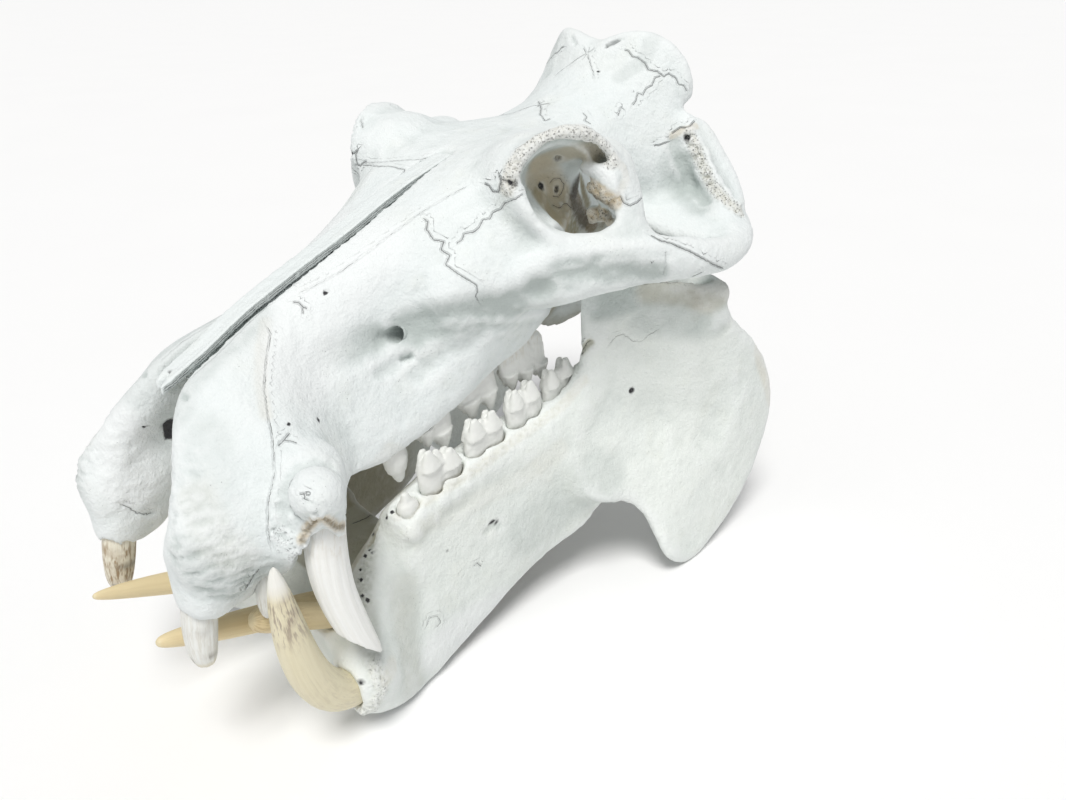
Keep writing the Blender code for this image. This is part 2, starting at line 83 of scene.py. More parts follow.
def camera_place():
    """The camera's matrix in the frame."""
    a, e, r = (math.radians(v) for v in (VIEW_AZIMUTH, VIEW_ELEVATION, VIEW_ROLL))
    back = Vector((math.sin(a) * math.cos(e), -math.cos(a) * math.cos(e), math.sin(e)))
    right = Vector((math.cos(a), math.sin(a), 0))
    up = back.cross(right)
    right, up = math.cos(r) * right + math.sin(r) * up, math.cos(r) * up - math.sin(r) * right
    turn = Matrix((right, up, back)).transposed().to_4x4()
    return REST @ Matrix.Translation(Vector(VIEW_FROM) * MM) @ turn


CAMERA = camera_place()


def sight(px, py):
    """Start and direction of the line of sight through a point of the view."""
    across, down = px - VIEW_CENTRE[0], py - VIEW_CENTRE[1]
    turn = CAMERA.to_3x3()
    return CAMERA.translation, (turn @ Vector((across, -down, -VIEW_FOCUS))).normalized()


def place(x, y, z):
    """A point of the skull's own axes, in the frame."""
    return REST @ (Vector((x, y, z)) * MM)


def own_axes(points):
    """Points of the frame in the skull's own axes, in metres."""
    back = np.array(REST_BACK)
    return points @ back[:3, :3].T + back[:3, 3]


def ramp(values, start, length):
    """0 up to start, 1 from a length beyond it on, straight in between; a length below 0 runs backwards."""
    return np.clip((values - start) / length, 0, 1)


# Sizes and colours

def tone(name, description, default):
    return FloatVectorProperty(name=name, description=description, subtype="COLOR", size=3, min=0, max=1,
                               default=default)


def grid(name, description, low, high, default):
    return FloatProperty(name=name, description=description, unit="LENGTH", min=low, max=high,
                         default=default)


class SkullLooks(bpy.types.PropertyGroup):
    bone_colour: tone("Bone colour", "Bleached bone of the skull", (0.81, 0.848, 0.842))
    jaw_colour: tone("Jaw colour", "Bleached bone of the lower jaw", (0.79, 0.825, 0.79))
    # Tan is also laid as warm painted shade under the bone, on the jaw's inner faces and in the eye socket
    tan_colour: tone("Tan colour", "Cream and tan tones left in the bone", (0.62, 0.52, 0.36))
    # Crust is also laid as brown painted shade in the eye socket's cavity
    crust_colour: tone("Crust colour", "Brown crust in the sockets", (0.20, 0.16, 0.10))
    # Painted shade, brownish like dirt: the colour of the inner faces, the palate and the dark parts of the
    # eye socket
    shade_colour: tone("Inner colour", "Brownish grey of the faces that look inwards", (0.27, 0.235, 0.125))
    # Painted shade, partly dust: the cool grey laid in the hollows, on the faces that look down and in shaded
    # places
    dust_and_shade_colour: tone("Veil colour", "Cool grey of dust that lies in the hollows", (0.43, 0.48, 0.46))
    # Dirt in seams and cracks, and painted shade in holes and pits
    dark_colour: tone("Seam colour", "Dirt in seams, cracks and holes", (0.035, 0.035, 0.038))
    enamel_colour: tone("Enamel colour", "Enamel of the upper incisors and cheek teeth", (0.80, 0.81, 0.78))
    ivory_colour: tone("Ivory colour", "Cream ivory of the lower incisors", (0.78, 0.65, 0.40))
    tusk_colour: tone("Tusk colour", "Ivory of the lower canines", (0.76, 0.70, 0.51))
    bone_grid: grid("Bone grid", "Grid on which the bones are resurfaced", 0.001, 0.01, 0.0028)
    tooth_grid: grid("Tooth grid", "Grid on which the cheek teeth are resurfaced", 0.0004, 0.004, 0.0011)
    tusk_sides: IntProperty(
        name="Tusk sides", description="Sides of a tusk's first ring", min=8, max=64, default=24)


# Shaders

class Number:
    """A shader socket that takes part in sums."""

    def __init__(self, shader, socket):
        self.shader = shader
        self.socket = socket

    def sum(self, operation, *values):
        return self.shader.node("ShaderNodeMath", {"operation": operation}, dict(enumerate(values)))

    def __add__(self, other):
        return self.sum("ADD", self, other)

    def __mul__(self, other):
        return self.sum("MULTIPLY", self, other)

    def __sub__(self, other):
        return self.sum("SUBTRACT", self, other)

    def __abs__(self):
        return self.sum("ABSOLUTE", self)

    def step(self, values):
        settings = {"interpolation_type": "SMOOTHSTEP"}
        return self.shader.node("ShaderNodeMapRange", settings, {0: self, **values})

    def over(self, low, high):
        """0 below low, 1 above high, smooth between them."""
        return self.step({1: low, 2: high})

    def under(self, low, high):
        """1 below low, 0 above high."""
        return self.step({1: low, 2: high, 3: 1.0, 4: 0.0})

    def most(self, other):
        return self.sum("MAXIMUM", self, other)

    __radd__ = __add__
    __rmul__ = __mul__


class Shader:
    """One material and its nodes."""

    def __init__(self, name, roughness):
        self.material = bpy.data.materials.new(name)
        self.material.use_nodes = True
        self.tree = self.material.node_tree
        self.surface = self.tree.nodes["Principled BSDF"]
        self.surface.inputs["Roughness"].default_value = roughness

    def node(self, kind, settings, values, output=0):
        made = self.tree.nodes.new(kind)
        for name, value in settings.items():
            setattr(made, name, value)
        for name, value in values.items():
            if isinstance(value, Number):
                self.tree.links.new(value.socket, made.inputs[name])
            else:
                made.inputs[name].default_value = value
        return Number(self, made.outputs[output])

    def field(self, name, output=2):
        """A number stored on the surface, or a vector where output is 1."""
        return self.node("ShaderNodeAttribute", {"attribute_name": name}, {}, output)

    def parts(self, vector):
        split = self.node("ShaderNodeSeparateXYZ", {}, {0: vector}).socket.node
        return [Number(self, split.outputs[i]) for i in range(3)]

    def here(self):
        return self.node("ShaderNodeTexCoord", {}, {}, 3)

    def noise(self, where, scale, detail=2.0, rough=0.5):
        return self.node("ShaderNodeTexNoise", {}, {
            "Vector": where, "Scale": scale, "Detail": detail, "Roughness": rough,
        })

    def cells(self, where, scale):
        return self.node("ShaderNodeTexVoronoi", {}, {"Vector": where, "Scale": scale})

    def stretch(self, where, scale):
        return self.node("ShaderNodeVectorMath", {"operation": "MULTIPLY"}, {0: where, 1: scale})

    def mix(self, share, one, other):
        made = self.tree.nodes.new("ShaderNodeMix")
        made.data_type = "RGBA"
        for socket, value in ((made.inputs[0], share), (made.inputs[6], one), (made.inputs[7], other)):
            if isinstance(value, Number):
                self.tree.links.new(value.socket, socket)
            else:
                socket.default_value = (*value, 1.0)
        return Number(self, made.outputs[2])

    def finish(self, colour, roughness, height, depth, strength):
        bump = self.node("ShaderNodeBump", {}, {"Strength": strength, "Distance": depth, "Height": height})
        self.tree.links.new(colour.socket, self.surface.inputs["Base Color"])
        self.tree.links.new(roughness.socket, self.surface.inputs["Roughness"])
        self.tree.links.new(bump.socket, self.surface.inputs["Normal"])
        return self.material


def tinted(colour, shares):
    return tuple(c * share for c, share in zip(colour, shares))


# Depth in metres of the relief that a height of 1 stands for
BONE_RELIEF, TOOTH_RELIEF = 0.0007, 0.0005
# How the bone's colour is tinted in its clouds and patches, the colour of painted light on ridges and
# brightened faces, partly worn bone, and the colour of old cracks
COOL, WARM = (0.97, 0.98, 0.985), (0.97, 0.955, 0.90)
WORN_AND_LIT_WHITE, AGED_CRACK = (0.86, 0.88, 0.88), (0.25, 0.23, 0.20)


def bone_material(name, colour, looks):
    """Bleached bone: mottled white, pitted, with grime in its seams and tan and brown where it is stained,
    painted shade in its hollows, holes and inner faces and painted light on its ridges.

    Noise and cells are given in repeats per metre, and the seams' distances in millimetres."""
    s = Shader(name, 0.8)
    here = s.here()
    cloud = s.noise(here, 11.0, 4.0, 0.55)
    patch = s.noise(here, 34.0, 3.0, 0.6)
    break_up = s.noise(here, 150.0, 2.0, 0.6)
    grain = s.noise(here, 520.0, 3.0, 0.6)
    fine = s.noise(here, 1500.0, 2.0, 0.6)
    pits = s.cells(here, 330.0)
    holes = s.cells(here, 620.0)
    wobble = s.noise(here, 260.0, 3.0, 0.7) - 0.5
    tan, crust, pores, dark, worn_and_lit, shade, dust_and_shade = (s.field(n) for n in Skin.FIELDS)

    # From the palest layer to the darkest, each broken up by the patches
    cool = s.mix(cloud.over(0.35, 0.7), colour, tinted(colour, COOL))
    base = s.mix(patch.over(0.5, 0.8) * 0.35, cool, tinted(colour, WARM))
    # Painted shade, partly dust: cool grey in the hollows and under the bone, then brownish grey painted
    # shade on the inner faces
    dust_shaded = s.mix(dust_and_shade + (patch - 0.5) * 0.3 * dust_and_shade, base, looks.dust_and_shade_colour)
    inner = s.mix((shade + (patch - 0.5) * 0.35 * shade).over(0.0, 1.1), dust_shaded, looks.shade_colour)
    pale = s.mix((tan + (patch - 0.5) * 0.6 * tan).over(0.0, 1.15), inner, looks.tan_colour)
    # Painted light on the ridges and brightened faces, partly worn bone
    highlighted = s.mix(worn_and_lit * 0.8, pale, WORN_AND_LIT_WHITE)
    crusted = (crust + (grain - 0.5) * 0.9 * crust + (patch - 0.5) * 0.8 * crust).over(0.1, 0.9)
    brown = s.mix(crusted, highlighted, looks.crust_colour)

    porous = (pores + (patch - 0.5) * 0.4 * pores).over(0.15, 0.7)
    speck = (pits.under(0.10, 0.30) * porous).most(holes.under(0.12, 0.32) * porous * 0.8)
    stray = pits.under(0.05, 0.13) * patch.over(0.56, 0.64) * 0.5
    line = None
    groove = None
    for side, depth in zip(s.parts(s.field("seams", 1)), s.parts(s.field("seam_depth", 1))):
        off = abs(side + wobble * 1.6)
        thin = (off - depth * 0.24).under(0.0, 0.30) * (depth + (break_up - 0.5) * 1.3).over(0.3, 0.75)
        wide = off.under(0.3, 1.6) * depth
        line = thin if line is None else line.most(thin)
        groove = wide if groove is None else groove.most(wide)
    # Dirt in the seams and cracks, with painted shade in the holes and pits
    dirt_and_shade = (line * 0.74).most(dark).most(speck * 0.34).most(stray)
    final = s.mix(dirt_and_shade, brown, looks.dark_colour)
    height = (grain * 0.9 + fine * 0.15 + break_up * 2.0 + patch * 1.6 - groove * 1.6 - speck * 1.8
              - stray * 0.6)
    rough = 0.62 + grain * 0.22 + pores * 0.1
    return s.finish(final, rough, height, BONE_RELIEF, 0.9)


def tooth_material(name, colour, streak, tip, stripes, gloss=0.34):
    """Enamel or ivory with fine lines that run along the tooth, faint rings across it and stains."""
    s = Shader(name, 0.4)
    where = s.field("lengthwise", 1)
    lines = s.noise(s.stretch(where, (1.0, 1.0, 0.03)), 1100.0, 2.0, 0.6)
    broad = s.noise(s.stretch(where, (1.0, 1.0, 0.06)), 330.0, 2.0, 0.6)
    rings = s.noise(s.stretch(where, (0.1, 0.1, 1.0)), 230.0, 2.0, 0.6)
    spots = s.noise(s.here(), 95.0, 3.0, 0.6)
    dashes = s.noise(s.stretch(where, (1.0, 1.0, 0.22)), 420.0, 2.0, 0.6)
    grain = s.noise(s.here(), 800.0, 2.0, 0.5)
    stain, white, crack = (s.field(n) for n in ("stain", "white", "crack"))
    base = s.mix(broad.over(0.4, 0.7) * stripes, colour, tinted(colour, (0.90, 0.88, 0.84)))
    ringed = s.mix(rings.over(0.55, 0.72) * 0.3 * stripes, base, tinted(colour, (0.85, 0.85, 0.85)))
    lined = s.mix(lines.over(0.58, 0.72) * 0.4 * stripes, ringed, tinted(colour, (0.6, 0.6, 0.6)))
    stained = s.mix(stain * dashes.over(0.48, 0.62), lined, streak)
    cloudy = s.mix(stain * spots.over(0.42, 0.7) * 0.45, stained, streak)
    tipped = s.mix(white, cloudy, tip)
    final = s.mix(crack * 0.75, tipped, AGED_CRACK)
    height = (lines * 0.8 * stripes + broad * 1.4 * stripes + rings * 0.25 * stripes + grain * 0.1
              - crack * 0.8)
    return s.finish(final, gloss + lines * 0.2 + spots * 0.12, height, TOOTH_RELIEF, 0.8)


# Meshes

def deselect():
    if bpy.context.object and bpy.context.object.mode != "OBJECT":
        bpy.ops.object.mode_set(mode="OBJECT")
    bpy.ops.object.select_all(action="DESELECT")


def choose(piece):
    deselect()
    piece.select_set(True)
    bpy.context.view_layer.objects.active = piece


@contextmanager
def editing(piece):
    """Edit mode, with the whole mesh selected."""
    choose(piece)
    bpy.ops.object.mode_set(mode="EDIT")
    bpy.ops.mesh.select_all(action="SELECT")
    yield
    bpy.ops.object.mode_set(mode="OBJECT")


def added(name, data):
    """A new object of the scene."""
    made = bpy.data.objects.new(name, data)
    bpy.context.scene.collection.objects.link(made)
    return made


def settled():
    """Puts an object's place, turn and scale into its mesh."""
    bpy.ops.object.transform_apply(location=True, rotation=True, scale=True)


def points_of(piece):
    points = np.empty(len(piece.data.vertices) * 3)
    piece.data.vertices.foreach_get("co", points)
    return points.reshape(-1, 3)


def put_points(piece, points):
    piece.data.vertices.foreach_set("co", points.ravel())
    piece.data.update()


def outward(piece):
    """The way the surface faces at each point."""
    out = np.empty(len(piece.data.vertices) * 3)
    piece.data.vertex_normals.foreach_get("vector", out)
    return out.reshape(-1, 3)


def store(piece, **fields):
    """Keeps a number for each point, which the material reads."""
    for name, values in fields.items():
        piece.data.attributes.new(name, "FLOAT", "POINT").data.foreach_set("value", values.astype(np.float32))


def store_vectors(piece, **fields):
    for name, values in fields.items():
        made = piece.data.attributes.new(name, "FLOAT_VECTOR", "POINT")
        made.data.foreach_set("vector", values.astype(np.float32).ravel())


def copy_of(node, name):
    """A merged copy of a CAD solid, alone and ready to be worked on."""
    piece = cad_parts[node].copy()
    piece.data = piece.data.copy()
    piece.name = name
    piece.data.name = name
    piece.parent = None
    for key in list(piece.keys()):
        del piece[key]
    piece.data.materials.clear()
    bpy.context.scene.collection.objects.link(piece)
    with editing(piece):
        bpy.ops.mesh.remove_doubles(threshold=0.00001)
    modify(piece, "SUBSURF", levels=1, render_levels=1)
    return piece


def modify(piece, kind, **settings):
    """Adds a modifier and applies it."""
    choose(piece)
    made = piece.modifiers.new(kind.lower(), kind)
    for name, value in settings.items():
        setattr(made, name, value)
    bpy.ops.object.modifier_apply(modifier=made.name)


def round_off(piece, width, segments, angle):
    modify(piece, "BEVEL", width=width, segments=segments, limit_method="ANGLE",
           angle_limit=math.radians(angle))


def resurface(piece, size, smooth):
    modify(piece, "REMESH", mode="VOXEL", voxel_size=size)
    modify(piece, "SMOOTH", factor=0.5, iterations=smooth)


def take_away(piece, cutter):
    modify(piece, "BOOLEAN", operation="DIFFERENCE", solver="EXACT", object=cutter)
    bpy.data.objects.remove(cutter, do_unlink=True)


def ball(centre, radii):
    """A rounded lump, in the skull's own millimetres."""
    deselect()
    bpy.ops.mesh.primitive_ico_sphere_add(subdivisions=3, radius=1.0, location=(0, 0, 0))
    bpy.ops.transform.resize(value=Vector(radii) * MM)
    bpy.ops.transform.translate(value=place(*centre))
    settled()
    return bpy.context.object


def join(piece, others):
    choose(piece)
    for other in others:
        other.select_set(True)
    bpy.ops.object.join()


def swell(piece, lumps):
    """Joins rounded lumps to a bone: centre and radii of each."""
    join(piece, [ball(centre, radii) for centre, radii in lumps])


def point_up(piece, cones, up):
    """Joins blunt cones to a crown: middle of the base, half widths and height of each; up is 1 or -1."""
    made = []
    for centre, (across, fore, height) in cones:
        deselect()
        bpy.ops.mesh.primitive_cone_add(
            vertices=20, radius1=1.0, radius2=0.3, depth=1.0, location=(0, 0, 0.5))
        cone = bpy.context.object
        settled()
        cone.scale = (across * MM, fore * MM, up * height * MM)
        cone.rotation_euler = REST.to_euler()
        cone.location = place(*centre)
        settled()
        if up < 0:
            with editing(cone):
                bpy.ops.mesh.normals_make_consistent(inside=False)
        made.append(cone)
    join(piece, made)


def both_sides(lumps):
    return [((side * x, y, z), radii) for (x, y, z), radii in lumps for side in (1, -1)]


def block(rings):
    """A closed block through rings of points."""
    mesh = bmesh.new()
    rings = [[mesh.verts.new(point) for point in ring] for ring in rings]
    for one, two in zip(rings, rings[1:]):
        for i in range(len(one)):
            j = (i + 1) % len(one)
            mesh.faces.new((one[i], one[j], two[j], two[i]))
    mesh.faces.new(rings[0][::-1])
    mesh.faces.new(rings[-1])
    bmesh.ops.recalc_face_normals(mesh, faces=mesh.faces)
    data = bpy.data.meshes.new("cutter")
    mesh.to_mesh(data)
    mesh.free()
    return added("cutter", data)


def sight_cutter(outline, side):
    """A block whose outline in the view is given: points of the view with the distances in millimetres
    from the camera at which it starts and ends."""
    rings = []
    for end in (2, 3):
        ring = []
        for row in outline:
            start, ahead = sight(row[0], row[1])
            point = start + ahead * (row[end] * MM)
            ring.append((side * point.x, point.y, point.z))
        rings.append(ring)
    return block(rings)


def smooth_line(rows, count):
    """Points on a smooth curve through rows of numbers."""
    rows = np.array(rows, float)
    last = len(rows) - 1
    ends = np.concatenate([[2 * rows[0] - rows[1]], rows, [2 * rows[-1] - rows[-2]]])
    found = []
    for spot in np.linspace(0, last, count):
        i = min(int(spot), last - 1)
        t = spot - i
        a, b, c, d = ends[i:i + 4]
        bend = (2 * a - 5 * b + 4 * c - d) * t**2 + (3 * b - a - 3 * c + d) * t**3
        found.append(0.5 * (2 * b + (c - a) * t + bend))
    return np.array(found)


class Skin:
    """A bone's surface, moved and painted at places of the view or of the skull's own axes.

    Lines laid on the bone are in metres; reaches, depths and radii are given in millimetres."""

    # Fields of colour: tan stains, also warm painted shade; brown crust; pores; dark seams, with painted
    # shade in holes; painted light with wear on ridges; and two of painted shade
    FIELDS = ("tan", "crust", "pores", "dark", "worn_and_lit", "shade", "dust_and_shade")
    # Metres from the camera to the skull's middle, where a line of sight that misses the bone is taken to end
    MISSED = 0.62
    # Points of a line: the step between them in the view, and the gaps in metres that make one a copy of the
    # last or a leap to another part of the bone
    VIEW_STEP, COPY, LEAP = 2.5, 0.0004, 0.02
    # A line that leaps within this many points has started on the wrong part
    FALSE_START = 8
    # Millimetres: how far off a seam is kept, over which last part it fades, and what points beyond hold
    SEAM_REACH, SEAM_FADE, NO_SEAM = 5, 2, 6.0
    # Rounds of averaging that tell wide and fine hollows, and the depths in millimetres that count as full
    # painted shade in a hollow and full painted light on a ridge
    WIDE, FINE = 60, 5
    WIDE_FULL, FINE_FULL, RIDGE_FULL = 3.0, 0.35, 0.3
    # Noise in lumps above this size, in millimetres, has two octaves and not three
    COARSE = 10

    def __init__(self, piece):
        self.piece = piece
        self.read()

    def read(self):
        count = len(self.piece.data.vertices)
        self.points = points_of(self.piece)
        self.out = outward(self.piece)
        self.tree = BVHTree.FromObject(self.piece, bpy.context.evaluated_depsgraph_get())
        self.fields = {name: np.zeros(count) for name in self.FIELDS}
        self.seams = np.full((count, 3), self.NO_SEAM)
        self.seam_depth = np.zeros((count, 3))

    def write(self):
        """Puts the moved points back, and reads the way the surface faces again."""
        put_points(self.piece, self.points)
        self.out = outward(self.piece)

    def deepen(self, field, values):
        self.fields[field] = np.maximum(self.fields[field], values)

    def age(self, under):
        """Paints shade, partly as dust, into the hollows and onto the faces that look down, tinted tan under
        the bone, and paints light onto the ridges.
        """
        self.write()
        wide, fine = self.hollows(self.WIDE), self.hollows(self.FINE)
        down = np.clip(0.25 - self.out[:, 2], 0, 1)
        hollow_shade = (under * down + 0.20 * np.clip(wide / self.WIDE_FULL, 0, 1)
                + 0.22 * np.clip(fine / self.FINE_FULL, 0, 1))
        self.fields["dust_and_shade"] = np.clip(self.fields["dust_and_shade"] + hollow_shade, 0, 0.85)
        self.deepen("tan", 0.22 * under * down)
        self.deepen("worn_and_lit", 0.5 * np.clip(-fine / self.RIDGE_FULL, 0, 1))

    def spot(self, px, py):
        """Where the line of sight through a point of the view meets the bone."""
        start, ahead = sight(px, py)
        return self.tree.ray_cast(start, ahead)[0] or self.tree.find_nearest(start + ahead * self.MISSED)[0]

    def route(self, pixels):
        """A line drawn over the view, laid on the bone."""
        found = []
        for (ax, ay), (bx, by) in zip(pixels, pixels[1:]):
            count = max(1, int(math.hypot(bx - ax, by - ay) / self.VIEW_STEP))
            found += [self.spot(ax + (bx - ax) * i / count, ay + (by - ay) * i / count) for i in range(count)]
        found.append(self.spot(*pixels[-1]))
        kept = [found[0]]
        for point in found[1:]:
            gap = (point - kept[-1]).length
            if len(kept) < self.FALSE_START and gap >= self.LEAP:
                kept = [point]
            elif self.COPY < gap < self.LEAP:
                kept.append(point)
        return kept

    def routes(self, pixels, both):
        """The line, and its mirror image on the other side where both is set."""
        route = self.route(pixels)
        if not both:
            return [route]
        return [route, [self.tree.find_nearest(Vector((-p.x, p.y, p.z)))[0] for p in route]]

    def off(self, route, reach):
        """Which points lie within reach of a line, and for each its distance in metres, the side of the line
        it is on and the share of the line at which it lies."""
        reach = reach * MM
        line = np.array(route)
        if len(line) == 1:
            line = np.concatenate([line, line + 1e-6])
        low, high = line.min(0) - reach, line.max(0) + reach
        near = np.flatnonzero(((self.points > low) & (self.points < high)).all(1))
        points = self.points[near]
        best = np.full(len(near), 9.0)
        side = np.zeros(len(near))
        part = np.zeros(len(near))
        for i, (a, b) in enumerate(zip(line, line[1:])):
            along = b - a
            t = np.clip((points - a) @ along / max(along @ along, 1e-12), 0, 1)
            gap = points - (a + t[:, None] * along)
            size = np.linalg.norm(gap, axis=1)
            closer = size < best
            best[closer] = size[closer]
            sign = np.einsum("ij,ij->i", np.cross(along, self.out[near]), gap)
            side[closer] = np.sign(sign[closer])
            part[closer] = (i + t[closer]) / (len(line) - 1)
        kept = best < reach
        return near[kept], best[kept], side[kept], part[kept]

    def press(self, route, radius, depth):
        """Pushes the bone in along a line, or out where depth is below 0."""
        near, far, _, _ = self.off(route, radius)
        fall = 1 - (far / (radius * MM))**2
        self.points[near] -= self.out[near] * (depth * MM * fall**2)[:, None]

    def band(self, route, radius, edge):
        """The points near a line, and a weight that is 1 on it and falls smoothly over its last part; edge is
        the steepness of the fall."""
        near, far, _, _ = self.off(route, radius)
        fall = np.clip(edge * (1 - far / (radius * MM)), 0, 1)
        return near, fall * fall * (3 - 2 * fall)

    def wash(self, field, route, radius, strength):
        """Paints a soft band of a field along a line."""
        near, weight = self.band(route, radius, 1.6)
        self.fields[field][near] = np.maximum(self.fields[field][near], strength * weight)

    def along(self, route, radius):
        """A weight for all points, which is 1 on a line and fades to 0 at a distance from it."""
        near, fall = self.band(route, radius, 1.7)
        weight = np.zeros(len(self.points))
        weight[near] = fall
        return weight

    def seam(self, route, channel, depth):
        """Draws a fine line, kept as the distance to it on either side."""
        near, far, side, part = self.off(route, self.SEAM_REACH)
        ends = np.clip(2.2 - 2.2 * np.abs(2 * part - 1)**8, 0.25, 1)
        fade = ends * np.clip((self.SEAM_REACH * MM - far) / (self.SEAM_FADE * MM), 0, 1)
        fresh = far / MM < np.abs(self.seams[near, channel])
        near, far, side, fade = near[fresh], far[fresh], side[fresh], fade[fresh]
        self.seams[near, channel] = side * far / MM
        self.seam_depth[near, channel] = depth * fade

    def averaged(self, values, times):
        """Values evened out over the neighbouring points, a number of times over."""
        mesh = self.piece.data
        pairs = np.empty(len(mesh.edges) * 2, int)
        mesh.edges.foreach_get("vertices", pairs)
        one, two = pairs[::2], pairs[1::2]
        count = len(self.points)
        shares = np.maximum(np.bincount(pairs, minlength=count), 1)
        for _ in range(times):
            around = [np.bincount(one, column[two], count) + np.bincount(two, column[one], count)
                      for column in values.T]
            values = 0.5 * values + 0.5 * np.array(around).T / shares[:, None]
        return values

    def even(self, weight, times):
        """Smooths the shape, as far as weight says."""
        self.points += (self.averaged(self.points, times) - self.points) * weight[:, None]

    def hollows(self, times):
        """How far the bone lies below its surroundings, in millimetres; below 0 on ridges."""
        return np.einsum("ij,ij->i", self.averaged(self.points, times) - self.points, self.out) / MM

    def roughen(self, weight, size, height, flat=1.0, seed=0, octaves=3):
        """Moves the bone in and out by noise, as far as weight says."""
        for i in np.flatnonzero(weight > 0.01):
            point = Vector(self.points[i] * (1, 1, flat)) / (size * MM) + Vector((seed, 0, 0))
            lift = noise.fractal(point, 0.8, 2.1, octaves) * height * MM * weight[i]
            self.points[i] += self.out[i] * lift

    def own(self):
        """The points in the skull's own axes, in millimetres."""
        return own_axes(self.points) / MM

    def refine(self, lines, reach):
        """Splits the faces near lines once, for detail finer than the grid."""
        mesh = self.piece.data
        chosen = np.zeros(len(mesh.vertices), bool)
        for pixels in lines:
            for route in self.routes(pixels, True):
                chosen[self.off(route, reach)[0]] = True
        choose(self.piece)
        bpy.ops.object.mode_set(mode="EDIT")
        bpy.ops.mesh.select_mode(type="VERT")
        bpy.ops.mesh.select_all(action="DESELECT")
        bpy.ops.object.mode_set(mode="OBJECT")
        mesh.vertices.foreach_set("select", chosen)
        bpy.ops.object.mode_set(mode="EDIT")
        bpy.ops.mesh.select_mode(type="FACE")
        bpy.ops.mesh.subdivide(number_cuts=1, smoothness=0.0)
        bpy.ops.mesh.select_all(action="SELECT")
        bpy.ops.mesh.quads_convert_to_tris()
        bpy.ops.object.mode_set(mode="OBJECT")
        self.read()

    def work(self, roughened, pressed, washed, holes, seams):
        """Shapes and paints everything that the tables of a bone list, on one side or on both."""
        for pixels, reach, size, height, flat in roughened:
            for route in self.routes(pixels, True):
                octaves = 2 if size > self.COARSE else 3
                self.roughen(self.along(route, reach), size, height, flat, octaves=octaves)
        for both, radius, depth, pixels in pressed:
            for route in self.routes(pixels, both):
                self.press(route, radius, depth)
        for both, radius, depth, pixel in holes:
            for route in self.routes((pixel,), both):
                self.press(route, radius * 1.5, depth)
                # Painted shade inside the hole
                self.wash("dark", route, radius * 1.6, 2.2)
        for both, field, radius, strength, pixels in washed:
            for route in self.routes(pixels, both):
                self.wash(field, route, radius, strength)
        for channel, depth, both, pixels in seams:
            for route in self.routes(pixels, both):
                self.seam(route, channel, depth)

    def finish(self):
        self.write()
        store(self.piece, **self.fields)
        store_vectors(self.piece, seams=self.seams, seam_depth=self.seam_depth)


def settle(piece, material, slot, *nodes):
    """Shades a finished piece smooth and ties it to the frame, inside the box of the solids."""
    piece.data.materials.append(material)
    choose(piece)
    bpy.ops.object.shade_smooth()
    put_points(piece, np.clip(points_of(piece), *(np.array(corner) for corner in SOLIDS_BOX)))
    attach(piece, "root")
    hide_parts(*nodes)


# The cranium

# The slot in which the nose bones lie: y, top of the bone, half width of the slot
NOSE_SLOT = (
    (30, 60, 24), (60, 76, 19.5), (80, 84, 16.6), (100, 91, 14.9), (130, 101, 12.2), (150, 107, 11.0),
    (190, 117, 10.7), (225, 125, 10.7), (256, 134, 10.6), (286, 141, 10.6), (324, 148, 10.4),
    (338, 151, 8.0),
)
# The nose bones: y, top z, half width, and how far they lie off the middle
NOSE_BONES = (
    (68, 81.5, 6.4), (74, 83.5, 8.0), (82, 86.5, 8.8), (100, 92, 9.2), (117, 98.5, 9.4), (137, 105.5, 9.4),
    (160, 111.5, 9.4), (190, 118.8, 9.4), (225, 126.5, 9.5), (256, 135, 9.6), (286, 142, 9.6),
    (316, 147, 9.6), (332, 149, 8.4),
)
NOSE_BONES_OFF = -0.8
NOSE_BONES_THICK = 6
# The slot's depth, how far its cutter stands above the bone, where its floor has come up and over what length
SLOT_DEPTH, SLOT_OPEN, SLOT_END, SLOT_RISE = 6.6, 40, 345, 30


def nose_cutter():
    """A long wedge-shaped block that opens the slot for the nose bones."""
    rings = []
    for y, top, half in smooth_line(NOSE_SLOT, 40):
        floor, over = top - SLOT_DEPTH * min(1.0, (SLOT_END - y) / SLOT_RISE), top + SLOT_OPEN
        corners = ((-half, over), (-half, floor), (half, floor), (half, over))
        rings.append([place(x, y, z) for x, z in corners])
    return block(rings)


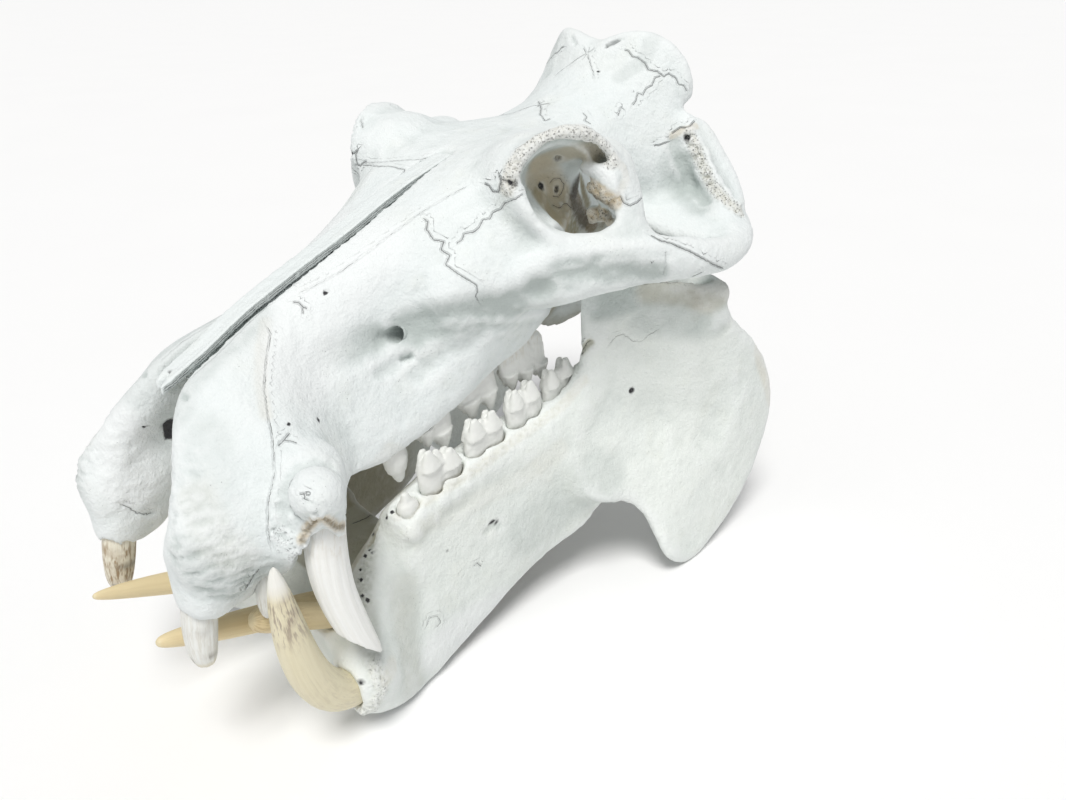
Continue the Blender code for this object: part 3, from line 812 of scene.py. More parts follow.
# Seams and cracks of the cranium: channel, depth, also on the other side, points of the view
CRANIUM_SEAMS = (
    (0, 0.5, True, ((297, 296), (340, 272), (380, 243), (423, 211), (469, 184))),
    (1, 0.6, True, ((265, 322), (271, 334), (267, 360), (265, 387), (268, 412), (273, 439), (274, 475),
                    (268, 505), (268, 533), (274, 554))),
    (0, 1.0, True, ((422, 217), (428, 222), (426, 230), (434, 240), (444, 242), (441, 250), (450, 256),
                    (445, 265), (458, 274), (478, 287), (477, 298), (483, 306), (490, 312))),
    (1, 0.9, True, ((455, 245), (462, 240), (464, 234), (474, 232), (479, 228), (483, 220), (490, 219),
                    (493, 213), (501, 209), (505, 203), (516, 199), (522, 195), (530, 199))),
    (2, 1.4, True, ((484, 184), (489, 186), (493, 192), (499, 192), (501, 182), (499, 175), (503, 180),
                    (509, 182), (514, 186))),
    (2, 1.3, True, ((650, 235), (661, 241), (672, 244), (690, 252), (710, 263), (729, 271))),
    (0, 0.9, True, ((620, 196), (623, 203), (630, 206), (637, 203), (642, 198), (648, 191))),
    (1, 1.0, True, ((623, 50), (628, 51), (632, 57), (638, 58), (645, 64), (648, 70), (657, 72), (664, 77),
                    (669, 74), (676, 79), (678, 85), (684, 86), (687, 93))),
    (0, 0.9, True, ((662, 76), (655, 78), (652, 86), (646, 89), (643, 95), (638, 93), (636, 101),
                    (632, 106))),
    (2, 1.2, True, ((672, 134), (680, 128), (688, 128), (695, 121))),
    (1, 1.2, True, ((654, 146), (661, 145), (666, 143), (671, 141))),
    (0, 0.9, True, ((538, 101), (541, 108), (540, 115), (545, 121), (551, 119))),
    (2, 0.8, True, ((583, 112), (587, 117), (585, 121), (591, 124))),
    (1, 0.6, True, ((583, 47), (588, 58), (593, 72), (594, 80))),
    (2, 0.7, True, ((484, 113), (500, 112), (516, 107), (532, 100))),
    (2, 0.9, True, ((619, 113), (621, 108), (618, 116))),
    (0, 0.8, False, ((350, 165), (372, 166), (394, 167), (405, 170), (400, 180), (388, 190), (372, 203))),
    (1, 0.6, False, ((362, 164), (400, 160), (440, 158))),
    (2, 1.0, False, ((293, 302), (299, 303), (303, 307), (307, 309))),
    (1, 0.8, False, ((303, 307), (303, 314))),
    (2, 0.9, False, ((278, 446), (284, 440), (290, 433))),
    (1, 0.8, False, ((284, 440), (290, 441), (297, 443))),
    (2, 0.9, False, ((686, 270), (694, 276), (700, 285))),
    (1, 0.9, False, ((688, 281), (694, 276), (702, 272))),
    (0, 0.5, False, ((666, 251), (666, 264), (665, 276))),
    (2, 1.0, True, ((243, 592), (247, 586), (252, 579), (259, 569))),
    (2, 0.9, False, ((122, 505), (130, 509), (137, 514), (146, 515), (153, 514))),
    (0, 0.9, True, ((289, 478), (284, 490), (286, 506), (293, 518), (302, 522))),
    (0, 0.9, True, ((300, 495), (305, 494), (304, 499), (308, 501))),
    (1, 0.8, True, ((549, 184), (553, 179), (560, 179), (564, 184), (563, 191), (559, 197), (552, 196))),
    (2, 0.8, True, ((552, 205), (560, 208), (566, 203), (572, 209))),
)
# How far right of the slit beside the nose bones its three seams lie, and the slit as a line in the view
SLIT_LINES = (-3, 0, 3)
SLIT = ((172, 391), (196, 368), (222, 344), (248, 319), (276, 294), (306, 268), (338, 240))
# Other lines in the view: rims, the strip behind the eye, a hole and the hollow under the arch
EYE_RIM = ((507, 188), (512, 170), (522, 152), (540, 138), (562, 131), (585, 134), (599, 144), (610, 161))
ROOT_RIM = ((301, 541), (307, 529), (316, 520), (326, 519), (337, 528), (348, 526))
REAR_STRIP = ((690, 136), (699, 158), (711, 184), (725, 200), (740, 212))
SMALL_HOLE = ((398, 361), (414, 357))
UNDER_ARCH = ((540, 290), (562, 279), (595, 273), (630, 273), (655, 277))
# Roughened on both sides: points of the view, reach, size and height of the noise, how far it is flattened
CRANIUM_ROUGH = (
    (EYE_RIM, 8, 3.0, 1.2, 1), (REAR_STRIP, 9, 4.5, 2.6, 1), (ROOT_RIM, 5, 3.0, 1.2, 1),
    (((186, 530), (208, 552), (234, 578)), 30, 12, 1.7, 3.6),
    (((105, 425), (118, 470), (132, 502)), 24, 12, 0.9, 3.0),
    (((302, 485), (322, 505)), 20, 4.5, 0.7, 1),
    (((286, 528), (300, 545), (318, 520)), 15, 6.0, 1.6, 2.4),
    (((588, 186), (600, 195), (612, 203)), 10, 3.2, 2.2, 1),
    (((589, 218), (604, 216)), 11, 3.6, 2.0, 1),
    (UNDER_ARCH, 18, 30, 1.7, 1.8),
    (((566, 205), (585, 226)), 12, 5.0, 2.0, 1),
    (((430, 350), (470, 330), (520, 318)), 20, 18, 1.2, 1.8),
)
# Shaped: also on the other side, reach, how far in, points of the view
CRANIUM_PRESSED = (
    (True, 7, -0.9, EYE_RIM),
    (True, 6.5, 2.6, ((331, 466), (315, 462), (299, 466), (288, 478), (283, 494), (286, 510), (296, 522))),
    (True, 4.5, 2.2, ((280, 508), (285, 524), (295, 534), (306, 534))),
    (True, 4.0, 1.8, ((277, 530), (286, 542), (297, 550))),
    (True, 19, 3.4, ((330, 360), (350, 350), (372, 344))),
    (True, 8, 2.0, ((380, 374), (392, 367), (402, 361))),
    (True, 4.5, 6.5, ((404, 360), (411, 358))),
    (True, 9, -1.0, ((372, 362), (388, 350), (408, 345))),
    (True, 20, 5.0, ((412, 332), (440, 323), (470, 316), (505, 309), (535, 297))),
    (True, 14, 2.6, ((420, 372), (448, 352), (478, 334))),
    (True, 16, 4.6, UNDER_ARCH),
    (True, 6, 1.2, ((596, 258), (620, 253), (645, 253), (667, 257))),
    (True, 7, 1.0, ((528, 276), (545, 268), (562, 262), (578, 260))),
    (True, 8, -1.6, ((500, 322), (530, 315), (560, 311), (585, 306), (604, 298), (632, 289))),
    (True, 3, 2.0, ((607, 46), (613, 43), (622, 38))),
    (True, 5, 1.8, ((509, 182), (514, 184))),
    (True, 3, 2.2, ((182, 396), (186, 399))),
    (True, 9, 3.0, ((674, 144), (680, 160), (692, 182), (706, 200))),
    (False, 4, 1.0, ((122, 505), (137, 514), (153, 514))),
    (True, 14, -1.4, ((590, 20), (640, 28), (672, 60))),
)
# Many rows paint shade: in and under the eye socket, where some is brown as crust and tan, under the arch, on
# the cheek, on the far snout's inner wall, in the slit, in the slot on the crest and in the holes; the rows
# that whiten the sides of the snout and the far snout paint light.
# Painted: also on the other side, field, reach, strength, points of the view
CRANIUM_WASHED = (
    (False, "pores", 8.5, 1.1, EYE_RIM),
    (False, "tan", 10, 0.42, EYE_RIM),
    (True, "dark", 3.4, 1.1, ((403, 358), (412, 357))),
    (True, "tan", 6, 0.35, ((613, 158), (624, 168), (626, 180), (618, 192))),
    (True, "shade", 15, 0.5, ((536, 165), (556, 156), (578, 150), (596, 154))),
    (True, "shade", 14, 0.55, ((534, 185), (550, 182), (562, 195), (566, 210), (580, 224), (600, 226))),
    (True, "tan", 18, 0.62, ((540, 165), (550, 180), (560, 196), (566, 214))),
    (True, "tan", 14, 0.5, ((530, 180), (545, 160), (570, 152), (592, 156))),
    (True, "crust", 7, 0.75, ((579, 178), (575, 190), (580, 204))),
    (True, "crust", 11, 0.7, ((574, 200), (582, 215), (592, 226))),
    (True, "shade", 20, 0.75, ((546, 190), (560, 205), (575, 222))),
    (True, "shade", 14, 0.9, ((540, 196), (549, 212), (561, 224), (574, 230))),
    (True, "tan", 13, 0.5, ((541, 198), (552, 214), (566, 226))),
    (True, "shade", 6, 0.8, ((581, 178), (584, 195), (590, 212), (598, 224))),
    (True, "crust", 4, 0.4, ((582, 184), (585, 198), (591, 214))),
    (True, "dark", 9, 0.45, ((574, 206), (584, 222))),
    (True, "dark", 8, 0.65, ((577, 182), (574, 194))),
    (True, "tan", 10, 1.0, ((590, 186), (600, 193), (613, 201))),
    (True, "crust", 4, 0.55, ((590, 192), (600, 200), (612, 207))),
    (True, "pores", 9, 0.9, ((590, 188), (600, 195), (610, 202))),
    (True, "tan", 10, 1.0, ((589, 218), (600, 213), (607, 222))),
    (True, "crust", 4, 0.5, ((600, 207), (607, 214), (602, 226))),
    (True, "pores", 8, 0.7, ((589, 218), (600, 213), (607, 222))),
    (True, "worn_and_lit", 7, 1.0, ((584, 168), (598, 168), (608, 178))),
    (True, "pores", 8, 1.0, REAR_STRIP),
    (True, "tan", 8, 0.38, REAR_STRIP),
    (True, "tan", 5.5, 0.8, ROOT_RIM),
    (True, "crust", 2.8, 0.6, ROOT_RIM),
    (True, "pores", 11, 0.45, ((283, 535), (288, 553), (297, 560))),
    (True, "pores", 12, 0.25, ((305, 480), (325, 505))),
    (True, "dust_and_shade", 19, 0.60, UNDER_ARCH),
    (True, "dust_and_shade", 24, 0.60, ((412, 332), (440, 323), (470, 318), (505, 311), (540, 298))),
    (True, "dust_and_shade", 16, 0.35, ((342, 352), (370, 342), (392, 334))),
    (True, "dust_and_shade", 17, 0.42, ((134, 388), (170, 352), (210, 325), (236, 308))),
    (True, "dust_and_shade", 5, 0.30, SLIT),
    (False, "dark", 2.4, 1.0, ((607, 46), (613, 43), (619, 40))),
    (True, "dark", 2.2, 1.2, ((509, 182), (515, 185))),
    (False, "dark", 5.5, 3.0, ((169, 424), (171, 433))),
    (True, "tan", 7, 0.30, ((266, 322), (262, 350), (261, 385), (266, 415))),
    (True, "tan", 20, 0.22, ((196, 500), (215, 540), (240, 560))),
    (True, "dust_and_shade", 22, 0.48, ((186, 560), (204, 576), (236, 584))),
    (True, "dust_and_shade", 24, 0.20, ((205, 440), (212, 500))),
    (True, "dust_and_shade", 16, 0.20, ((610, 226), (640, 222), (666, 226))),
    (True, "worn_and_lit", 40, 0.9, ((300, 370), (310, 310), (370, 245))),
    (False, "worn_and_lit", 30, 1.0, ((118, 430), (132, 485))),
    (True, "tan", 16, 0.12, ((560, 60), (585, 60))),
    (True, "dust_and_shade", 9, 0.30, ((560, 34), (552, 55), (548, 72))),
    (True, "dust_and_shade", 22, 0.45, ((676, 168), (690, 190), (700, 205))),
    (True, "tan", 5, 0.5, ((672, 136), (684, 130), (696, 126))),
    (True, "tan", 9, 0.25, ((410, 470), (398, 452), (388, 470))),
)
# Holes, pressed in and painted dark as their shade: also on the other side, radius, depth, point of the view
CRANIUM_HOLES = (
    (True, 2.1, 3.4, (558, 159)), (True, 1.7, 2.5, (541, 186)), (True, 2.0, 2.5, (557, 190)),
    (False, 1.1, 0.8, (325, 293)), (False, 0.9, 0.6, (289, 424)), (False, 0.9, 0.5, (144, 427)),
    (True, 2.2, 3.0, (687, 138)), (True, 2.4, 4.0, (406, 359)), (False, 0.8, 0.5, (598, 72)),
    (False, 1.0, 0.6, (318, 420)),
)
# The knob over the left canine; the right one is flattened from this centre, within a radius, by a depth
KNOB = ((113.2, 93.4, 29.0), (17.0, 17.0, 17.0))
FLAT_KNOB = ((-116, 92, 31), 26, 7)
# Lumps that both sides have: centre and radii
CRANIUM_LUMPS = (
    ((103, 381, 134), (13, 4.5, 6)), ((112, 382, 123), (12, 5, 14)), ((118, 386, 112), (9, 6, 12)),
    ((98, 384, 119), (5, 5, 4)), ((103, 386, 113), (5.5, 5, 5)), ((109, 387, 108), (6, 5, 5)),
    ((104, 388, 103), (5, 4, 4)), ((93.5, 390, 95), (8, 7, 8)), ((103, 390, 97), (6, 5, 5)),
    ((109, 389, 91), (5, 5, 4)), ((91, 524, 118), (6.5, 6, 6.5)), ((97, 524, 109), (6, 6, 6)),
    ((104, 524, 100), (6.5, 6, 7)), ((112, 520, 91), (6, 6, 6)), ((120, 517, 83), (7, 6, 6)),
    ((130, 515, 74), (6, 6, 6)), ((140, 513, 66), (7, 6, 6)),
)
# Outline of the eye socket's opening: points of the view, with the distances from the camera between which
# the bone is opened
EYE_OPENING = (
    (521, 186, 606, 648), (519, 175, 607, 650), (522, 165, 608, 652), (534, 152, 616, 648),
    (547, 141, 624, 652), (562, 137, 632, 656), (580, 139, 638, 664), (595, 142, 644, 670),
    (605, 152, 648, 678), (610, 162, 650, 688), (616, 185, 652, 692), (617, 205, 650, 690),
    (616, 222, 648, 688), (600, 232, 642, 684), (585, 234, 636, 678), (571, 232, 630, 672),
    (560, 228, 624, 668), (553, 219, 620, 664), (546, 206, 614, 658), (538, 199, 610, 654),
    (534, 193, 608, 650),
)
CANINE_ROOT_CUT = ((106, 88, -26), (20, 20, 24))
# Outline of the notch over the root of the canine, as for the eye socket
CANINE_NOTCH = (
    (302, 562, 520, 574), (306, 546, 520, 574), (313, 534, 520, 574), (322, 527, 520, 574),
    (330, 530, 520, 574), (338, 538, 520, 574), (350, 534, 520, 580), (356, 560, 520, 580),
    (345, 600, 520, 575), (305, 600, 520, 572),
)


def make_cranium(looks):
    """The cranium: its solid opened, given its lumps and resurfaced, then shaped and painted."""
    piece = copy_of("cranium", "skull_bone")
    take_away(piece, nose_cutter())
    (x, y, z), radii = CANINE_ROOT_CUT
    for side in (1, -1):
        take_away(piece, sight_cutter(EYE_OPENING, side))
        take_away(piece, sight_cutter(CANINE_NOTCH, side))
        take_away(piece, ball((side * x, y, z), radii))
    swell(piece, [KNOB, *both_sides(CRANIUM_LUMPS)])
    resurface(piece, looks.bone_grid, 3)
    skin = Skin(piece)
    skin.refine((EYE_RIM, ROOT_RIM, REAR_STRIP, SLIT, SMALL_HOLE, *(row[3] for row in CRANIUM_SEAMS),
                 *((row[3],) for row in CRANIUM_HOLES)), 3.3)
    centre, radius, depth = FLAT_KNOB
    spot = [place(*centre)]
    skin.press(spot, radius, depth)
    skin.even(skin.along(spot, radius * 1.3), 60)
    whole = np.ones(len(skin.points))
    skin.roughen(whole, 28, 0.8, octaves=2)
    skin.roughen(whole, 7, 0.22, seed=3)
    skin.work(CRANIUM_ROUGH, CRANIUM_PRESSED, CRANIUM_WASHED, CRANIUM_HOLES, CRANIUM_SEAMS)
    for channel, shift in enumerate(SLIT_LINES):
        for route in skin.routes([(x + shift, y + shift * 0.7) for x, y in SLIT], True):
            skin.seam(route, channel, 0.42)
    skin.age(0.34)
    # Painted shade on the palate and the inner faces beside it, between the cheek teeth
    own = skin.own()
    palate = np.clip(-2 * skin.out[:, 2], 0, 1) * (np.abs(own[:, 0]) < 58) * ramp(own[:, 1], 60, 30)
    skin.deepen("shade", 0.8 * palate * (own[:, 2] < 30))
    skin.finish()
    material = bone_material("bleached_skull_bone", tuple(looks.bone_colour), looks)
    settle(piece, material, "bleached_bone", "cranium")


def make_nose_bones(looks):
    """The long pair of nose bones: a bar extruded back from its free tip, then notched and rounded."""
    rows = smooth_line(NOSE_BONES, 34)
    deep = NOSE_BONES_THICK / 2
    deselect()
    bpy.ops.mesh.primitive_plane_add(size=1.0, location=place(NOSE_BONES_OFF, rows[0][0], rows[0][1] - deep))
    piece = bpy.context.object
    piece.name = "nose_bones"
    with editing(piece):
        mesh = bmesh.from_edit_mesh(piece.data)
        width, thick = rows[0][2] * 2 * MM, NOSE_BONES_THICK * MM
        for vertex in mesh.verts:
            vertex.co = Vector((vertex.co.x * width, 0, vertex.co.y * thick))
        bmesh.update_edit_mesh(piece.data)
        for before, after in zip(rows, rows[1:]):
            step = place(0, after[0], after[1]) - place(0, before[0], before[1])
            bpy.ops.mesh.extrude_region_move(TRANSFORM_OT_translate={"value": step})
            centre = place(NOSE_BONES_OFF, after[0], after[1] - deep)
            bpy.ops.transform.resize(value=(after[2] / before[2], 1, 1), center_override=centre)
        bpy.ops.mesh.select_all(action="SELECT")
        bpy.ops.mesh.normals_make_consistent(inside=False)
    settled()
    round_off(piece, 0.0012, 2, 50)
    resurface(piece, 0.0012, 2)
    skin = Skin(piece)
    own = skin.own()
    across = own[:, 0] - NOSE_BONES_OFF
    # A notch in the tip, whose right half is the shorter one, and a groove where the two bones meet
    tip = 1 - ramp(own[:, 1], 67, 12)
    skin.points[:, 1] += tip * (np.exp(-((across + 0.5) / 2.6)**2) * 0.010 + (across < 0) * 0.0022)
    middle = np.exp(-(across / 1.4)**2) * (own[:, 1] > 76) * (skin.out[:, 2] > 0.5)
    skin.points[:, 2] -= middle * 0.0004
    skin.roughen(np.ones(len(own)), 9, 0.5)
    # Painted shade on the flanks, two seams along the left one and painted shade at the end of the notch
    skin.fields["dust_and_shade"] = 0.5 * np.clip((np.abs(skin.out[:, 0]) - 0.5) * 3, 0, 1)
    for channel, level in enumerate((-2.2, -3.6)):
        line = (place(NOSE_BONES_OFF + half, y, top + level) for y, top, half in rows)
        skin.seam([skin.tree.find_nearest(point)[0] for point in line], channel, 0.7)
    skin.fields["dark"] = np.clip(1 - np.hypot(own[:, 1] - 79, across + 0.5) / 2.4, 0, 1)
    skin.finish()
    material = bone_material("bleached_nose_bone", tuple(looks.bone_colour), looks)
    settle(piece, material, "bleached_bone", "cranium")


# The lower jaw

# Rim of bone along the outer side of the lower teeth: y, top z
TOOTH_RIM = (
    (172, -60), (181, -55), (191, -58), (202, -55), (214, -57), (226, -55), (238, -58), (250, -58),
    (262, -60), (274, -61), (286, -64), (298, -65), (310, -66), (324, -64),
)
# Lines in the view: two edges, a hole, and where the jaw is evened out
CHIN_RIM = ((374, 664), (381, 690), (372, 708), (352, 716))
FRONT_EDGE = ((392, 510), (374, 535), (366, 560), (362, 600))
CHEEK_HOLE = ((632, 391), (634, 392))
EVENED = ((556, 476), (572, 496), (588, 506))
# The same columns as in the tables of the cranium
JAW_SEAMS = (
    (0, 0.7, False, ((473, 566), (477, 563), (481, 567))),
    (1, 0.6, False, ((427, 628), (430, 618), (437, 616), (441, 622), (436, 628))),
    (0, 0.55, False, ((605, 348), (616, 337), (624, 335), (635, 343), (643, 343), (651, 335), (661, 328))),
    (2, 1.3, False, ((575, 361), (579, 352), (586, 344), (590, 341))),
    (1, 1.2, False, ((572, 366), (576, 360), (583, 352))),
    (1, 0.9, True, ((352, 524), (366, 518), (378, 511), (388, 505), (394, 497))),
    (0, 0.7, True, ((640, 284), (655, 282), (670, 283), (682, 281))),
)
JAW_ROUGH = (
    (CHIN_RIM, 10, 3.0, 1.2, 1), (FRONT_EDGE, 9, 2.6, 0.6, 1),
    (((400, 515), (440, 492), (480, 466), (520, 436), (560, 408)), 6, 3.5, 0.9, 1),
)
JAW_PRESSED = (
    (True, 5, 1.6, ((486, 532), (493, 526), (500, 527))),
    (True, 5, 2.0, ((573, 360), (581, 350), (589, 343))),
    (True, 28, 2.4, ((632, 330), (652, 370), (655, 415))),
    (True, 24, 1.8, ((704, 330), (716, 380), (712, 430))),
    (True, 16, -1.6, ((600, 330), (600, 380), (580, 430))),
    (True, 22, 1.8, ((410, 600), (418, 640), (430, 670))),
    (True, 8, -1.6, CHIN_RIM),
    (True, 12, 1.2, ((428, 520), (470, 498), (520, 470))),
    (True, 4, 2.0, ((372, 536), (370, 546))),
)
# Many rows paint shade: under the arch, on the ramus, on the jaw's front face, in the crypt behind the last
# tooth and in the holes; the row that whitens the jaw's lower side paints light.
JAW_WASHED = (
    (True, "tan", 11, 0.40, ((757, 350), (768, 385), (772, 420), (765, 452))),
    (True, "tan", 20, 0.40, ((650, 290), (688, 292), (712, 300), (726, 290))),
    (True, "dust_and_shade", 26, 0.85, ((600, 300), (650, 290), (690, 290), (722, 285))),
    (True, "dust_and_shade", 24, 0.45, ((650, 318), (690, 322), (716, 322))),
    (True, "dust_and_shade", 36, 0.38, ((530, 530), (570, 500), (600, 480))),
    (True, "worn_and_lit", 28, 0.9, ((440, 650), (480, 618), (520, 588))),
    (True, "crust", 9, 0.22, ((692, 292), (698, 304), (696, 318))),
    (True, "tan", 20, 0.22, ((404, 590), (408, 640), (416, 690))),
    (True, "dust_and_shade", 22, 0.30, ((404, 590), (408, 640), (416, 690))),
    (True, "tan", 10, 0.34, ((430, 705), (480, 672), (530, 620), (575, 585), (620, 570))),
    (True, "tan", 7, 0.34, ((398, 516), (440, 492), (480, 466), (520, 436), (560, 408), (584, 380))),
    (True, "tan", 14, 0.20, ((420, 530), (470, 505), (520, 480), (560, 450))),
    (True, "shade", 6, 0.55, ((573, 362), (582, 351), (590, 342))),
    (True, "dark", 1.8, 1.3, ((490, 524), (495, 521), (499, 526))),
    (True, "dark", 2.4, 1.2, ((372, 534), (371, 540))),
    (True, "pores", 9, 0.45, CHIN_RIM),
    (True, "tan", 9, 0.25, CHIN_RIM),
    (True, "pores", 10, 0.30, FRONT_EDGE),
    (True, "dust_and_shade", 14, 0.60, ((372, 520), (364, 560), (362, 600), (372, 650))),
    (True, "tan", 14, 0.25, ((372, 520), (364, 560), (362, 600), (372, 650))),
    (True, "dust_and_shade", 10, 0.20, ((378, 545), (372, 580), (374, 620), (384, 650))),
    (True, "dark", 2.6, 1.3, ((340, 711), (350, 710))),
)
# Holes, pressed in and painted dark as their shade
JAW_HOLES = (
    (True, 2.3, 2.2, (632, 391)), (True, 1.5, 1.4, (386, 517)), (True, 1.1, 1.0, (392, 512)),
    (True, 1.2, 1.0, (369, 549)), (True, 1.0, 0.8, (365, 556)), (True, 0.9, 0.7, (373, 553)),
    (True, 0.9, 0.6, (361, 580)), (True, 1.0, 0.7, (362, 596)), (True, 0.9, 0.6, (363, 612)),
    (True, 0.9, 0.6, (360, 570)), (True, 1.0, 0.8, (367, 600)), (False, 0.8, 0.4, (448, 551)),
    (False, 0.7, 0.4, (456, 607)), (False, 0.7, 0.4, (419, 640)), (False, 0.7, 0.4, (594, 380)),
)


def make_jaw(looks):
    """The lower jaw: its solid with a rim along the teeth, resurfaced, then shaped and painted."""
    piece = copy_of("mandible", "jaw_bone")
    swell(piece, both_sides([((84.5, y, top - 9), (5.5, 9, 9.5)) for y, top in TOOTH_RIM]))
    resurface(piece, looks.bone_grid, 3)
    skin = Skin(piece)
    skin.refine((CHIN_RIM, FRONT_EDGE, CHEEK_HOLE, *(row[3] for row in JAW_SEAMS)), 5.0)
    skin.even(np.maximum(*(skin.along(route, 22) for route in skin.routes(EVENED, True))), 40)
    whole = np.ones(len(skin.points))
    skin.roughen(whole, 34, 0.9, octaves=2)
    skin.roughen(whole, 8, 0.16, seed=5)
    skin.work(JAW_ROUGH, JAW_PRESSED, JAW_WASHED, JAW_HOLES, JAW_SEAMS)
    # Painted shade, brownish like dirt, on the inner faces and on the shelf between the two halves behind the
    # chin
    own = skin.own()
    inward = np.clip(-np.sign(own[:, 0]) * skin.out[:, 0] * 1.6 - 0.2, 0, 1) * (np.abs(own[:, 0]) > 18)
    inward *= ramp(own[:, 1], 130, 50) * np.maximum(ramp(own[:, 1], 330, -60), 0.2)
    shelf = (own[:, 1] > 125) * (own[:, 1] < 215) * (np.abs(own[:, 0]) < 60)
    shelf = shelf * np.clip(skin.out[:, 2] * 2, 0, 1)
    skin.age(0.04)
    skin.deepen("shade", 0.74 * np.maximum(inward, shelf * 0.8))
    skin.deepen("tan", 0.2 * inward)
    skin.finish()
    settle(piece, bone_material("bleached_jaw_bone", tuple(looks.jaw_colour), looks), "jaw_bone", "mandible")


# Long teeth: x, y, z down the middle line, half width fore and aft, half width across

UPPER_CANINE = (
    (98, 108, 14, 11, 11), (101, 100, -2, 13, 12), (102, 93, -19, 14.5, 13.2), (105, 89, -48, 13.4, 12.2),
    (110, 91, -80, 12, 10.8), (114, 95.5, -105, 9.4, 8.6), (115, 98, -115, 6.5, 6.5),
)
LOWER_CANINE = (
    (87, 126, -152, 13, 12), (89, 106, -155, 14, 13.5), (91, 84, -150, 15.5, 14.5),
    (94, 67, -134, 15.5, 14.5), (97, 57, -104, 14, 13), (98, 55, -68, 12, 11.5), (98, 57, -32, 8, 8),
    (97, 60, -12, 2, 2),
)
LOWER_CANINE_WORN = (
    (87, 126, -152, 13, 12), (89, 106, -155, 14, 13.5), (91, 86, -151, 14.5, 13.5),
    (93, 72, -141, 13, 12.5), (94, 64, -130, 9, 9),
)
UPPER_INCISOR_1 = (
    (57, 42, -12, 10, 10), (56, 27, -30, 11.5, 11.5), (56, 21, -46, 11.5, 11.5), (58, 14.5, -66, 10, 10.5),
    (60.5, 12, -80, 6.5, 7),
)
UPPER_INCISOR_2 = ((75, 68, -22, 7, 7), (75, 62, -38, 7.5, 7.5), (75, 57, -52, 7, 7), (75, 55, -65, 3.5, 4))
UPPER_INCISOR_2_RIGHT = ((67, 68, -16, 7, 7), (67, 64, -32, 7, 7), (67, 61, -43, 6, 6), (67, 60, -50, 3, 3))
LOWER_INCISOR_1 = (
    (33, 129, -133, 10, 10), (33, 105, -118, 10.5, 10.5), (34, 71, -101, 10, 10), (35, 31, -80, 8.5, 8.5),
    (35, 3, -65, 5.5, 5.5), (35, -4, -62, 2.5, 2.5),
)
LOWER_INCISOR_1_RIGHT = (
    (33, 120, -128, 10, 10), (33, 96, -112, 10.5, 10.5), (34, 62, -94, 10, 10), (35, 22, -72, 7.5, 7.5),
    (35, -6, -58, 4, 4), (35, -12, -55, 1.5, 1.5),
)
LOWER_INCISOR_2 = (
    (60, 122, -126, 9, 9), (61, 98, -107, 9.5, 9.5), (62, 72, -86, 10, 10), (63, 54, -73, 9.5, 9.5),
    (63, 47, -68, 6, 6),
)
LOWER_INCISOR_2_RIGHT = (
    (60, 122, -126, 9, 9), (61, 98, -107, 9.5, 9.5), (62, 80, -93, 9.5, 9.5), (62, 71, -86, 6, 6),
)
# A point on the worn end of the left upper canine and the way that this end faces
UPPER_CANINE_SLANT = ((112, 77, -76), (-0.12, -0.78, -0.60))
# Radius in metres on which the lengthwise stripes are laid out
STRIPE_RADIUS = 0.012
# Shares of a tooth's length: over which its tip comes in, the half width of a crack and how far it wanders
TIP_FADE, CRACK_WIDTH, CRACK_WAVE = 0.03, 0.018, 0.012


def turned(rows):
    """The middle line's points, and its angle at each of them in the frame's own upright plane."""
    spots = [place(*row[:3]) for row in rows]
    found = []
    for i in range(len(spots)):
        ahead = spots[min(i + 1, len(spots) - 1)] - spots[max(i - 1, 0)]
        found.append(math.atan2(ahead.z, ahead.y))
    return spots, found


def grow_tooth(name, rows, sides):
    """A tusk grown from its root: one ring, extruded, turned and scaled down the middle line."""
    spots, angles = turned(rows)
    deselect()
    bpy.ops.mesh.primitive_circle_add(vertices=sides, radius=1.0, fill_type="NGON", location=spots[0])
    piece = bpy.context.object
    piece.name = name
    piece.data.name = name
    settled()
    fore, across = rows[0][3] * MM, rows[0][4] * MM
    lean = Vector((0, -math.sin(angles[0]), math.cos(angles[0])))
    with editing(piece):
        mesh = bmesh.from_edit_mesh(piece.data)
        for vertex in mesh.verts:
            flat = vertex.co - spots[0]
            vertex.co = spots[0] + Vector((flat.x * across, 0, 0)) + lean * (flat.y * fore)
        bmesh.update_edit_mesh(piece.data)
        for i in range(1, len(rows)):
            bpy.ops.mesh.extrude_region_move(TRANSFORM_OT_translate={"value": spots[i] - spots[i - 1]})
            turn = (angles[i] - angles[i - 1] + math.pi) % (2 * math.pi) - math.pi
            bpy.ops.transform.rotate(
                value=-turn, orient_axis="X", orient_type="GLOBAL", center_override=spots[i])
            size = (rows[i][4] / rows[i - 1][4], rows[i][3] / rows[i - 1][3], rows[i][3] / rows[i - 1][3])
            bpy.ops.transform.resize(value=size, center_override=spots[i])
        bpy.ops.mesh.select_all(action="SELECT")
        bpy.ops.mesh.normals_make_consistent(inside=False)
    return piece


